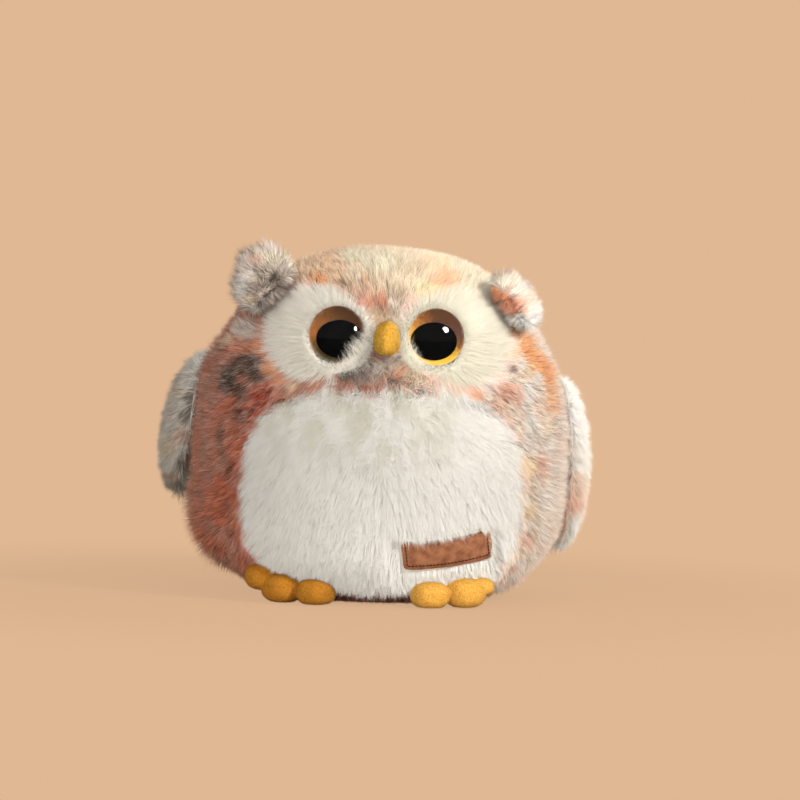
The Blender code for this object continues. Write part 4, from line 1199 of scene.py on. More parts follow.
def outlinePatch(name, outline, extra, sign=1, steps=96, rings=40):
    # rings of the rounded outline, from its middle to its edge, laid on the front's ground
    across, up, halfWidth, halfHeight, power = skin[outline]
    turn = 2 * np.pi * np.arange(steps) / steps
    ring = np.linspace(0, 1, rings + 1)[1:, None]
    x = sign * across + ring * halfWidth * signedPower(np.cos(turn), 2 / power)
    z = up + ring * halfHeight * signedPower(np.sin(turn), 2 / power)
    points = bodyFront(x, z, groundInset(bodyFront(x, z)) + extra)
    index = np.arange(rings * steps).reshape(rings, steps)
    after = np.roll(index, -1, axis=1)
    faces = np.concatenate((
        quadFaces(index[:-1], index[1:], after[1:], after[:-1]),
        np.stack((np.full(steps, index.size), index[0], after[0]), -1),
    ))
    centre = bodyFront(sign * across, up, skin["ground"] + skin["clear"] + extra)
    return meshFromTriangles(name, np.concatenate((points.reshape(-1, 3), [centre])), faces)


def makeBackings():
    seam, crown = skin["sideSeam"], skin["crownHalfWidth"]
    aboveBase, aboveEyes = (((0, 0, skin[edge]), (0, 0, -1)) for edge in ("baseTop", "crownBottom"))
    step = skin["clear"]

    def dyed(points):
        # painted shade: the fur's dyes darkened where the ground lies deep in the pile
        return patchedFur(points) * skin["dyedShade"]

    def white(points):
        # painted shade: the white darkened under the pile, and darker still in the wells round the eyes
        shade = skin["whiteShade"]
        for sign in sides.values():
            shade = shade * (1 - skin["wellShade"] * smooth(*skin["wellRim"], fromEye(points, sign)[0]))
        return whites["belly"] * shade[:, None]

    for side, sign in sides.items():
        for panel, way, slotName in (("side", 1, "salmon_fur"), ("back", -1, "pink_fur")):
            planes = [((0, 0, 0), (-sign, 0, 0)), aboveBase, ((0, seam, 0), (0, way, 0))]
            mesh = cutForm(f"{side}_{panel}_ground", step, planes)
            addCloth(mesh, "body", slotName, f"{side}_{panel}_panel", dyed)
        mesh = outlinePatch(side + "_disc_ground", "disc", -step, sign)
        addCloth(mesh, "body", "white_fur", side + "_face_disc", white)
    planes = [((sign * crown, 0, 0), (sign, 0, 0)) for sign in (1, -1)] + [aboveEyes]
    addCloth(cutForm("crown_ground", -step, planes), "body", "cream_fur", "crown_panel", dyed)
    addCloth(outlinePatch("chin_ground", "chin", 0), "body", "dark_fur", "chin_panel", dyed)
    addCloth(outlinePatch("belly_ground", "belly", -2 * step), "body", "white_fur", "belly_panel", white)


makeBackings()


def bodyRing(height, inset, turn):
    # the ring of the lower body at this height
    f = owlForm
    t = (f["widest"] - height) / (f["widest"] + f["sink"])
    x, y = signedPower(np.array([np.cos(turn), np.sin(turn)]), 2 / f["planPower"])
    return xyz(
        (f["halfWidth"] * roundOff(t, f["widthPower"]) - inset) * x,
        (f["halfDepth"] * roundOff(t, f["depthPower"]) - inset) * y,
        height,
    )


def makeBase():
    # a flat cushion of cloth, from its underside round its edge to its top
    turn = 2 * np.pi * np.arange(120) / 120
    top = skin["baseTop"] / mm - 0.4
    edge = [(0.3, 12), (0.3, 8), (0.9, 5.8), (3, 5.2), (6, 5.2), (top - 0.5, 5.6), (top, 8), (top, 20)]
    rows = np.stack([bodyRing(height * mm, inset * mm, turn) for height, inset in edge])
    addBacking(closedMesh("base_backing", rows), "body", "maroon_fur", "base_panel", dyes["maroon"])


fillingFibre = clothMaterial("polyester filling")


filling = {
    "dye": paint(236, 234, 228), "inset": 9.6 * mm, "lump": 14 * mm, "lumpDepth": 0.9 * mm,
    "middle": np.array([0, -4 * mm, 75 * mm]), "overBase": 0.5 * mm,
}


def addFilling(mesh, body, node):
    colourVertices(mesh, filling["dye"])
    return addPiece(mesh, fillingFibre, body, "filling", node)


def makeFilling():
    # the body's form inside the cloth, flat over the base, with the soft lumps of stuffed fibre
    f = filling
    mesh = formMesh("stuffing_fill", lambda directions: bodySurface(directions, f["inset"]), 80, 120)
    points = pointsOf(mesh)
    points += unit(f["middle"] - points) * (softNoise(points, f["lump"], 71) * f["lumpDepth"])[:, None]
    points[:, 2] = np.maximum(points[:, 2], skin["baseTop"] + f["overBase"])
    setPoints(mesh, points)
    addFilling(mesh, "body", "stuffing")


makeBase()
makeFilling()


def insideBody(points, grow=0.0):
    # whether each point lies in the body's form grown by this much
    f = owlForm
    x, y, z = np.moveaxis(points, -1, 0)
    up = z > f["widest"]
    t = np.abs(z - f["widest"]) / np.where(up, f["top"] - f["widest"] + grow, f["widest"] + f["sink"])
    low = np.clip(t, 0, 0.9999)
    width = (f["halfWidth"] + grow) * roundOff(low, f["widthPower"])
    depth = (f["halfDepth"] + grow) * roundOff(low, f["depthPower"])
    lean = np.where(up, f["lean"] * low * low, 0)
    return (t < 1) & (np.abs(x / width) ** f["planPower"] + np.abs((y + lean) / depth) ** f["planPower"] < 1)


def pushedOut(points, way, grow):
    # points inside the grown body slide along this way until they reach its surface
    low = np.zeros(points.shape[:-1])
    high = np.where(insideBody(points, grow), 30 * mm, 0)
    for _ in range(14):
        middle = (low + high) / 2
        inside = insideBody(points + way * middle[..., None], grow)
        low = np.where(inside, middle, low)
        high = np.where(inside, high, middle)
    return points + way * high[..., None]


# wings

wings = {
    "hinge": 101 * mm, "backTurn": math.radians(10), "length": 80 * mm, "halfWidth": 27 * mm,
    "thickness": 18 * mm, "flatness": 0.85, "tipShare": 0.76, "clearance": 0.4 * mm, "lining": 2.4 * mm,
    "pile": 3.8 * mm, "fabric": 4.3 * mm, "fur": 5.4 * mm, "closer": 2.2 * mm, "backingShade": 0.7,
    # sweep and cant
    "left": (math.radians(42), math.radians(15)), "right": (math.radians(6), math.radians(3)),
    # how much longer the lining's fur is at the wing's end, and how the fur catches the light
    "leftFluff": 2.4, "rightFluff": 1.6, "leftTurned": [0, 0, 0], "rightTurned": [0.2, -0.9, 0.2],
}


def wingFrame(side):
    # X out from the body, Y along the sewn edge, Z up the wing
    sign, (sweep, cant) = sides[side], wings[side]
    direction = sideDirection(wings["hinge"], wings["backTurn"], sign)
    out = unit(np.array([direction[0], direction[1], 0]))
    up = turnAbout(out, sign * sweep)[:3, :3] @ np.array([0, 0, 1.0])
    along = np.cross(up, out)
    place = frameFrom(out, along, up, bodySurface(direction) + out * (wings["clearance"] - wings["closer"]))
    return place @ turnAbout([0, 1, 0], -cant)


def wingSurface(side, inset):
    # a flat teardrop hanging from its hinge: flat towards the body, full outside, curved round the body
    place = wingFrame(side)
    half = wings["length"] / 2

    def surface(directions):
        along = directions[..., 2] * (half - inset)
        share = (1 - along / half) / 2
        across = directions[..., 1] * (wings["halfWidth"] * (1 + (wings["tipShare"] - 1) * share) - inset)
        lift = directions[..., 0] * (wings["thickness"] / 2 - inset)
        ring = np.sqrt(np.maximum(1 - (along / half) ** 2, 0))
        middle = wings["thickness"] / 2 * wings["flatness"] * ring
        hug = across ** 2 / (2 * owlForm["halfWidth"])
        return moved(xyz(middle + lift - hug, across, along - half), place)

    return surface


def liningSurface(side, inset):
    # the wing's inner side, held off the body by its clearance and this much more
    outside, way = wingSurface(side, inset), wingFrame(side)[:3, 0]
    return lambda directions: pushedOut(outside(directions), way, wings["clearance"] + inset)


def halfForm(name, surface, outer, rows=40, columns=40):
    # one side of a wing or ear, from pole to pole, as an open sheet
    low, high = (-0.25, 0.25) if outer else (0.25, 0.75)
    u, v = np.meshgrid(np.linspace(low, high, columns), np.linspace(0.01, 0.99, rows))
    index = np.arange(rows * columns).reshape(rows, columns)
    faces = quadFaces(index[:-1, :-1], index[:-1, 1:], index[1:, 1:], index[1:, :-1])
    return meshFromTriangles(name, surface(directionsAt(u, v)), faces)


wingCoat = {
    **dyedCoat, "tuft": 1.8 * mm, "tuftSway": 0.30, "lockSway": 0.34, "lean": 44, "gather": 0.60,
    "relief": 0.40, "tuftShade": 0.16, "speckle": 0.12, "density": 5.0 / mm ** 2,
}
liningCoat = {**wingCoat, "lean": 40, "thickness": 0.28 * mm, "density": 2.2 / mm ** 2}


def makeWing(side):
    w, body, place = wings, side + "_wing", wingFrame(side)
    rng = np.random.default_rng(91 + sides[side])
    outer, inner = wingSurface(side, 0), wingSurface(side, w["pile"])
    down, turned = -place[:3, 2], np.array(w[side + "Turned"])
    directions = scatter(outer, wingCoat["density"], rng)
    directions = directions[directions[:, 0] > -0.05]
    directions = directions[~insideBody(outer(directions), 0.2 * mm)]
    addCoat(
        [body + "_fur"], body, "grey_fur", body + "_outer", dyedFibre, inner(directions),
        surfaceNormals(outer, directions), down, w["fur"], wingCoat, lambda tips: limbFur(body, tips),
        92 + sides[side], turned=turned,
    )
    thin = w["lining"] - 0.6 * mm
    directions = scatter(outer, liningCoat["density"], rng)
    directions = directions[directions[:, 0] < -0.02]
    tops, starts = liningSurface(side, 0)(directions), liningSurface(side, thin)(directions)
    normals = surfaceNormals(outer, directions)
    share = np.clip(-moved(tops, np.linalg.inv(place))[:, 2] / w["length"], 0, 1)
    length = thin * (1 + w[side + "Fluff"] * smooth(0.2, 0.8, share))
    length = np.where(insideBody(starts + normals * length[:, None], 0.5 * mm), thin, length)
    addCoat(
        [body + "_lining_fur"], body, "pink_fur", body + "_lining", dyedFibre, starts, normals, down, length,
        liningCoat, lambda tips: limbFur(body, tips), 94 + sides[side], turned=turned,
    )

    def shaded(points):
        # painted shade: the wing's dyes darkened under its pile
        return limbFur(body, points) * w["backingShade"]

    for name, surface, slotName in (
        ("outer", wingSurface(side, w["pile"] + 0.1 * mm), "grey_fur"),
        ("lining", liningSurface(side, thin + 0.1 * mm), "pink_fur"),
    ):
        mesh = halfForm(f"{body}_{name}_backing", surface, name == "outer")
        addCloth(mesh, body, slotName, f"{body}_{name}", shaded)
    solid = wingSurface(side, w["fabric"] + skin["cloth"] + 0.3 * mm)
    mesh = formMesh(
        body + "_fill", lambda d: pushedOut(solid(d), place[:3, 0], w["clearance"] + w["lining"]), 40, 48
    )
    addFilling(mesh, body, body + "_stuffing")


for side in sides:
    makeWing(side)

# ears

ears = {
    "halfWidth": 16 * mm, "height": 18.5 * mm, "root": 5 * mm,
    "halfThickness": 6.8 * mm, "power": 2.3, "rootPower": 4.0, "tipShare": 0.9, "clearance": 0.6 * mm,
    "left": {"ring": 136 * mm, "turn": 38, "fold": 10, "inward": 14},
    "right": {"ring": 132 * mm, "turn": 37, "fold": 90, "inward": 3},
    "pile": 4.6 * mm, "leftFur": 6.4 * mm, "rightFur": 4.8 * mm,
}


def earFrame(side):
    # X along the sewn edge, Y to the back of the ear, Z up it
    own = ears[side]
    direction = sideDirection(own["ring"], -math.radians(own["turn"]), sides[side])
    normal = surfaceNormals(bodySurface, direction[None])[0]
    edge = unit(np.cross([0, 1.0, 0], normal))
    place = frameFrom(edge, np.cross(normal, edge), normal, bodySurface(direction))
    raised = place @ shift(0, 0, ears["root"] + ears["clearance"])
    return raised @ turnAbout([1, 0, 0], -math.radians(own["fold"]))


def earSurface(side, inset):
    # a rounded flap, thickest half way up, on a rolled root
    place, e, sign = earFrame(side), ears, sides[side]
    root = e["root"] - inset * 0.6

    def surface(directions):
        x, y, z = np.moveaxis(directions, -1, 0)
        upper, lower = (roundedReach(x, z, 1, 1, e[power]) for power in ("power", "rootPower"))
        around = np.hypot(x, z) / np.maximum(np.where(z > 0, upper, lower), 1e-9)
        share = z * around
        above = np.maximum(share, 0)
        height = share * np.where(share > 0, e["height"] - inset, root)
        narrowed = 1 + (e["tipShare"] - 1) * above
        swell = root + (e["halfThickness"] - inset - root) * np.sin(np.pi * above)
        inward = -sign * height * math.tan(math.radians(e[side]["inward"]))
        wide = x * around * (e["halfWidth"] - inset) * narrowed
        return moved(xyz(wide + inward, y * swell, height), place)

    return surface


earCoat = {
    **dyedCoat, "tuft": 1.8 * mm, "tuftSway": 0.34, "lockSway": 0.32, "lean": 44, "gather": 0.6,
    "relief": 0.4, "tuftShade": 0.20, "density": 7.5 / mm ** 2,
}


def makeEar(side):
    body, place = side + "_ear", earFrame(side)
    rng = np.random.default_rng(101 + sides[side])
    outer, core = earSurface(side, 0), earSurface(side, ears["pile"])
    cloth = earSurface(side, ears["pile"] + 0.1 * mm)
    directions = scatter(outer, earCoat["density"], rng)
    starts, normals = core(directions), surfaceNormals(outer, directions)
    keep = ~insideBody(starts, 0.3 * mm)
    for layer, chosen, spun in (("front", directions[:, 1] < 0, -1), ("back", directions[:, 1] >= 0, 1)):
        mine = keep & chosen
        addCoat(
            [f"{body}_{layer}_fur"], body, "grey_fur", f"{body}_{layer}", dyedFibre, starts[mine],
            normals[mine], place[:3, 2], ears[side + "Fur"], earCoat, lambda tips: limbFur(body, tips),
            102 + 2 * sides[side] + (layer == "back"),
        )

        def sheet(directions):
            x, y, z = np.moveaxis(directions, -1, 0)
            return cloth(xyz(-y * spun, x * spun, z))

        mesh = halfForm(f"{body}_{layer}_backing", sheet, True, 30, 30)
        # painted shade: the ear's dyes at half brightness under its pile
        addCloth(mesh, body, "grey_fur", f"{body}_{layer}", lambda points: limbFur(body, points) * 0.5)


for side in sides:
    makeEar(side)

# feet and beak

feet = {
    "halfWidths": (8.4 * mm, 9.0 * mm, 7.2 * mm), "halfHeights": (6.4 * mm, 7.0 * mm, 6.4 * mm),
    "halfLength": 9.4 * mm, "power": 2.6, "offsets": (-14.4 * mm, 0, 10.8 * mm),
    "reaches": (7.2 * mm, 7.5 * mm, 2.2 * mm), "rises": (0, 0.4 * mm, 5.4 * mm), "sink": 0.5 * mm,
    "turns": {"left": math.radians(46), "right": math.radians(40)}, "pile": 1.2 * mm, "cloth": 0.45 * mm,
    "outerSize": {"left": 1.0, "right": 0.72}, "outerInward": {"left": 0, "right": 2.6 * mm},
}
plushCoat = {
    **whiteCoat, "tuft": 1.2 * mm, "stray": 0.2, "uneven": 0.05, "ragged": 0.3, "gather": 0.05,
    "relief": 0.05, "tuftShade": 0.04, "speckle": 0.22, "thickness": 0.18 * mm, "shadeShare": 0.93,
    "density": 9.5 / mm ** 2,
}


def boxedDirections(directions, power):
    return directions / np.sum(np.abs(directions) ** power, -1, keepdims=True) ** (1 / power)


def toePlaces(side):
    # each toe's middle, and its axes scaled by its half sizes
    f, mirror = feet, np.array([sides[side], 1, 1])
    places = []
    rows = zip(f["halfWidths"], f["halfHeights"], f["offsets"], f["reaches"], f["rises"])
    for wide, high, offset, reach, rise in rows:
        if offset > 0:
            wide, high = wide * f["outerSize"][side], high * f["outerSize"][side]
            offset -= f["outerInward"][side]
        height = high - f["sink"] + rise
        radius = abs(bodyFront(0.0, height)[1])
        angle = f["turns"][side] + offset / radius
        heading = np.array([math.sin(angle), -math.cos(angle), 0])
        across = np.array([math.cos(angle), math.sin(angle), 0])
        middle = bodyFront(radius * math.sin(angle), height) + heading * reach
        places.append((middle * mirror, across * mirror, heading * mirror, (wide, f["halfLength"], high)))
    return places


def toeSurface(toe, inset):
    middle, across, heading, halfSizes = toe
    across = across * np.sign(np.cross(across, heading)[2])                   # keeps the faces outward
    axes = np.array([across, heading, [0, 0, 1]]) * (np.array(halfSizes) - inset)[:, None]

    def surface(directions):
        spot = middle + boxedDirections(directions, feet["power"]) @ axes
        spot[..., 2] = np.maximum(spot[..., 2], inset)
        return spot

    return surface


def insideToe(points, toe, inset):
    middle, across, heading, halfSizes = toe
    own = (points - middle) @ np.array([across, heading, [0, 0, 1]]).T / (np.array(halfSizes) - inset)
    return np.sum(np.abs(own) ** feet["power"], -1) < 1


def joinedMesh(name, meshes):
    # several closed forms in one mesh
    bm = bmesh.new()
    for mesh in meshes:
        bm.from_mesh(mesh)
        bpy.data.meshes.remove(mesh)
    mesh = bpy.data.meshes.new(name)
    bm.to_mesh(mesh)
    bm.free()
    mesh.shade_smooth()
    return mesh


# the left foot's gold is a darker, shaded copy and the right foot's a brighter, lit copy of the one plush:
# painted light and shade; the beak, cloud and spot golds are the plush's own
goldDyeAndPaintedFootLight = {
    "left": paint(176, 118, 38), "right": paint(220, 168, 78), "beak": paint(242, 190, 76),
    "cloud": paint(190, 118, 30), "spot": paint(168, 112, 30),
}


def makePlushGrain():
    # the fine unevenness of short plush
    group, given, made = nodeGroup(
        "plushGrain",
        [
            ("Colour", "NodeSocketColor", (0.6, 0.3, 0.05, 1)),
            ("Deep Colour", "NodeSocketColor", (0.4, 0.2, 0.02, 1)),
            ("Grain Size", "NodeSocketFloat", 1400), ("Deep Below", "NodeSocketFloat", 0.36),
            ("Full Above", "NodeSocketFloat", 0.6),
        ],
        [("Colour", "NodeSocketColor"), ("Height", "NodeSocketFloat")],
    )
    grain = addNode(
        group, "ShaderNodeTexNoise",
        values={"Vector": coordinates(group), "Scale": given["Grain Size"], "Detail": 3},
    )["Fac"]
    share = addNode(
        group, "ShaderNodeMapRange",
        values={"Value": grain, "From Min": given["Deep Below"], "From Max": given["Full Above"]},
    )[0]
    colour = mixColours(group, share, given["Deep Colour"], given["Colour"])
    feed(group, made, {"Colour": colour, "Height": grain})
    return group


plushGrain = makePlushGrain()
plushDepth = [0.72, 0.62, 0.5]                               # the grain's deep colour over its own


def plushCloth(name, colour):
    material, tree, inputs = newMaterial(name, colour, 0.95, 0.1)
    grain = addNode(
        tree, "ShaderNodeGroup", {"node_tree": plushGrain},
        {"Colour": (*colour, 1), "Deep Colour": (*(colour * plushDepth), 1)},
    )
    feed(tree, inputs, {"Base Color": grain["Colour"]})
    addBump(tree, inputs, grain["Height"], 0.35, 0.2 * mm)
    return material


def goldTint(points, colour, seed):
    return mixIn(colour, goldDyeAndPaintedFootLight["cloud"], 0.35 * smooth(0.5, 0.85, softNoise(points, 2.2 * mm, seed)))


def makeFoot(side):
    toes = toePlaces(side)
    meshes = [formMesh("toe", toeSurface(toe, feet["cloth"]), 30, 40) for toe in toes]
    gold = plushCloth(side + " foot cloth", goldDyeAndPaintedFootLight[side])
    cloth = addPiece(joinedMesh(side + "_foot_cloth", meshes), gold, "body", "gold_plush", side + "_foot")
    weld = cloth.modifiers.new("one skin", "REMESH")
    weld.mode, weld.voxel_size, weld.use_smooth_shade = "VOXEL", 0.5 * mm, True
    soften = cloth.modifiers.new("soft creases", "SMOOTH")
    soften.factor, soften.iterations = 0.5, 12
    rng = np.random.default_rng(112 + sides[side])
    parts = []
    for toe in toes:
        surface = toeSurface(toe, feet["pile"])
        directions = scatter(surface, plushCoat["density"], rng)
        spots = surface(directions)
        keep = ~insideBody(spots, -1.5 * mm) & (spots[:, 2] > feet["pile"] + 0.05 * mm)
        for other in toes:
            if other is not toe:
                keep &= ~insideToe(spots, other, feet["pile"])
        parts.append((spots[keep], surfaceNormals(surface, directions[keep])))
    starts, normals = (np.concatenate(part) for part in zip(*parts))
    addCoat(
        [side + "_foot_plush"], "body", "gold_plush", side + "_foot", plushFibre, starts, normals,
        (0, 0, -0.6), feet["pile"], plushCoat, lambda tips: goldTint(tips, goldDyeAndPaintedFootLight[side], 111),
        114 + sides[side],
    )


for side in sides:
    makeFoot(side)


def beakSurface(inset):
    # an egg, narrower above, its tip drooping, drawn in along the seam down its front
    b, seat = beak, bodyFront(0.0, beak["height"])

    def surface(directions):
        x, y, z = np.moveaxis(boxedDirections(directions, b["power"]), -1, 0)
        narrowed = 1 + (b["topShare"] - 1) * (1 + z) / 2
        ahead = np.maximum(-y, 0)
        seam = b["seamDepth"] * np.exp(-(x / b["seamWidth"]) ** 2) * smooth(0.2, 0.9, ahead)
        return seat + xyz(
            x * (b["halfWidth"] - inset) * narrowed,
            y * (b["reach"] - inset) * narrowed + seam,
            z * (b["halfHeight"] - inset) - b["droop"] * ahead ** 2,
        )

    return surface


beakCoat = {**plushCoat, "density": 16 / mm ** 2, "thickness": 0.26 * mm, "tuft": 0.9 * mm, "speckle": 0.05}


def makeBeak():
    surface, gold = beakSurface(beak["pile"]), plushCloth("beak cloth", goldDyeAndPaintedFootLight["beak"])
    mesh = formMesh("beak_cloth", surface, 60, 80)
    addPiece(mesh, gold, "body", "gold_plush", "beak")
    directions = scatter(surface, beakCoat["density"], np.random.default_rng(122))
    directions = directions[~insideBody(surface(directions), -4 * mm)]
    starts, normals = surface(directions), surfaceNormals(surface, directions)

    def colours(points):
        # spots of deeper gold
        spots = smooth(0.62, 0.76, softNoise(points, 0.9 * mm, 125))
        return mixIn(goldTint(points, goldDyeAndPaintedFootLight["beak"], 121), goldDyeAndPaintedFootLight["spot"], 0.5 * spots)

    keel = xyz(np.clip(starts[:, 0] / beak["keelHalfWidth"], -1, 1), 0, 0)
    addCoat(
        ["beak_plush"], "body", "gold_plush", "beak", plushFibre, starts, normals, (0, 0, -0.5),
        beak["pile"], beakCoat, colours, 124, facing=unit(normals + beak["keel"] * keel),
    )


makeBeak()

# eyes


def paintedMaterial(name, roughness, specular):
    # plastic whose colour is painted on its points
    material, tree, inputs = newMaterial(name, plain, roughness, specular)
    feed(tree, inputs, {"Base Color": attribute(tree, "tint", "Color")})
    return material


# Each iris round its axis: degrees from the picture's right, and the colour there.
# The dark brown high on each iris is painted shade and the brightest amber and yellow are painted light,
# where light through the dome falls; the amber between is the iris's own.
irisRing = {
    "left": [
        (0, (62, 36, 16)), (45, (62, 36, 16)), (90, (68, 40, 16)), (120, (90, 54, 20)), (150, (110, 66, 22)),
        (180, (138, 84, 34)), (212, (80, 62, 22)), (240, (50, 42, 18)), (300, (50, 40, 18)),
    ],
    "right": [
        (0, (72, 42, 26)), (45, (66, 37, 19)), (90, (66, 38, 16)), (125, (104, 60, 20)), (150, (150, 98, 26)),
        (180, (196, 146, 34)), (220, (200, 156, 30)), (270, (204, 158, 30)), (312, (200, 154, 30)),
        (338, (120, 76, 28)),
    ],
}


# ring is a painted highlight along the iris's outer edge above; rim is a painted shadow round its edge
irisEdges = {
    "blurTurn": 30, "blurSize": 0.7 * mm, "upper": (-0.2, 0.3), "upperSlope": 0.6, "cover": 0.8,
    "ring": paint(98, 60, 34), "paintedHighlightFrom": (0.86, 0.93), "rim": paint(50, 28, 12), "paintedRimShadowFrom": (0.95, 1.0),
}


def irisColours(points, place, side):
    # the colours run into one another round the ring, with a painted highlight on the outer edge above and a
    # painted shadow round the rim
    e = irisEdges
    own = moved(points, np.linalg.inv(place))[:, :2] / eyes["radius"]
    distance = np.hypot(*own.T)
    blur = e["blurTurn"] * (softNoise(points, e["blurSize"], 131) - 0.5)
    turn = np.degrees(np.arctan2(own[:, 1], own[:, 0])) + blur
    angles = [angle for angle, _ in irisRing[side]]
    colours = np.array([paint(*colour) for _, colour in irisRing[side]])
    tint = np.stack([np.interp(turn, angles, channel, period=360) for channel in colours.T], -1)
    upper = smooth(*e["upper"], own[:, 1] + e["upperSlope"] * own[:, 0])
    tint = mixIn(tint, e["ring"], e["cover"] * smooth(*e["paintedHighlightFrom"], distance) * upper)
    return mixIn(tint, e["rim"], e["cover"] * smooth(*e["paintedRimShadowFrom"], distance))


def makeEyes():
    amber = paintedMaterial("amber iris", 0.4, 0.2)
    black, _, _ = newMaterial("black pupil", (0.0015, 0.0015, 0.0015), 0.4, 0.0)
    clear, _, _ = newMaterial("clear acrylic", (1, 1, 1), 0.02, 0.16, Transmission_Weight=1.0, IOR=1.49)
    washer, _, _ = newMaterial("washer plastic", paint(226, 226, 222), 0.45)
    e = eyes
    radius, pupil, shank, shankLength = e["radius"], e["pupilRadius"], 2.0 * mm, 12 * mm
    back = -e["seat"] + e["gap"]
    front = back + e["iris"]
    plate = [
        (shank * 0.5, back - shankLength), (shank, back - shankLength + 0.5 * mm), (shank, back - 0.3 * mm),
        (shank + 0.3 * mm, back), (radius - 0.3 * mm, back), (radius - 0.05 * mm, back + 0.2 * mm),
        (radius - 0.05 * mm, front - 0.1 * mm), (radius - 0.15 * mm, front),
        *[(radius * share, front) for share in np.linspace(0.97, 0.05, 24)],
    ]
    pupilBack, pupilFront = front + 0.02 * mm, front + e["pupil"]
    disc = [
        (pupil * 0.5, pupilBack), (pupil - 0.1 * mm, pupilBack), (pupil, pupilBack + 0.1 * mm),
        (pupil, pupilFront - 0.2 * mm), (pupil - 0.2 * mm, pupilFront), (pupil * 0.5, pupilFront),
        (pupil * 0.1, pupilFront),
    ]
    foot, rimTop = front - 0.05 * mm, front + e["gap"] + e["rim"]
    angle = np.radians(np.linspace(0, 88, 40))
    dome = [
        (radius * 0.5, foot), (radius, foot), (radius, rimTop - 0.2 * mm),
        *zip(radius * np.cos(angle), rimTop + e["dome"] * np.sin(angle)),
    ]
    for side, sign in sides.items():
        place = eyeFrame(sign)
        mesh = turnedMesh(side + "_iris_plate", plate, 128, place)
        colourVertices(mesh, irisColours(pointsOf(mesh), place, side))
        addPiece(mesh, amber, "body", "amber", side + "_iris")
        inward = shift(-sign * e["pupilInward"], -e["pupilDrop"], 0) @ np.diag([1, e["pupilFlat"], 1, 1])
        mesh = turnedMesh(side + "_pupil_disc", disc, 96, place @ inward)
        addPiece(mesh, black, "body", "black_gloss", side + "_pupil")
        mesh = turnedMesh(side + "_eye_dome", dome, 128, place)
        lens = addPiece(mesh, clear, "body", "clear", side + "_lens")
        lens.visible_shadow = False                                    # light falls through it onto the iris
        frame["nodes"][side + "_eye_washer"].data.materials.clear()
        frame["nodes"][side + "_eye_washer"].data.materials.append(washer)


makeEyes()

# leather label and its stitches

leather = {"dark": paint(128, 80, 56), "pale": paint(168, 114, 82), "grain": 1400, "cloud": 260}


def leatherMaterial():
    material, tree, inputs = newMaterial("tan leather", leather["dark"], 0.6, 0.25)
    where = coordinates(tree)
    grain = addNode(
        tree, "ShaderNodeTexVoronoi", {"feature": "SMOOTH_F1"}, {"Vector": where, "Scale": leather["grain"]}
    )
    cloud = addNode(
        tree, "ShaderNodeTexNoise", values={"Vector": where, "Scale": leather["cloud"], "Detail": 4}
    )
    share = addNode(
        tree, "ShaderNodeMapRange", values={"Value": cloud["Fac"], "From Min": 0.35, "From Max": 0.7}
    )
    colour = mixColours(tree, share[0], (*leather["dark"], 1), (*leather["pale"], 1))
    feed(tree, inputs, {"Base Color": colour})
    addBump(tree, inputs, grain["Distance"], 0.35, 0.2 * mm)
    return material


def labelPoint(across, along, inset):
    # the point of the label this far from its middle, this deep under the fur's surface
    turn = label["tilt"]
    along = along + label["bend"] * ((across / label["halfWidth"]) ** 2 - 0.4)
    x = label["offset"] + across * math.cos(turn) - along * math.sin(turn)
    z = label["height"] + across * math.sin(turn) + along * math.cos(turn)
    return bodyFront(x, z, inset)


def makeLabel():
    # rounded rings of the outline, from the back's middle over the edge to the front's middle
    turn = 2 * np.pi * np.arange(160) / 160
    shares = [(0.05, 1.0), (0.5, 1.0), (0.97, 1.0), (1.0, 0.8), (1.0, 0.25), (0.985, 0.05), (0.95, 0.0)]
    shares += [(size, 0.0) for size in (0.85, 0.75, 0.65, 0.55, 0.45, 0.35, 0.25, 0.15, 0.05)]
    rows = []
    for size, deep in shares:
        x = signedPower(np.cos(turn), 2 / 14) * label["halfWidth"]
        z = signedPower(np.sin(turn), 2 / 10) * label["halfHeight"]
        rim = (1 - size) * label["halfHeight"]
        x, z = x * min(1 - rim / label["halfWidth"], 1.6 * size), z * size
        rows.append(labelPoint(x, z, label["depth"] + label["thickness"] * deep))
    mesh = closedMesh("label_leather", np.stack(rows)[:, ::-1])
    addPiece(mesh, leatherMaterial(), "body", "leather", "patch")


# the length of thread that shows is a share of the pitch; bow is its rise in radii
stitches = {
    "dye": paint(44, 26, 18), "margin": 1.8 * mm, "pitch": 1.55 * mm, "radius": 0.24 * mm, "share": 0.72,
    "bow": 1.5, "widths": np.array([0.5, 0.9, 1, 1, 1, 0.9, 0.5]), "over": 0.1 * mm,
}


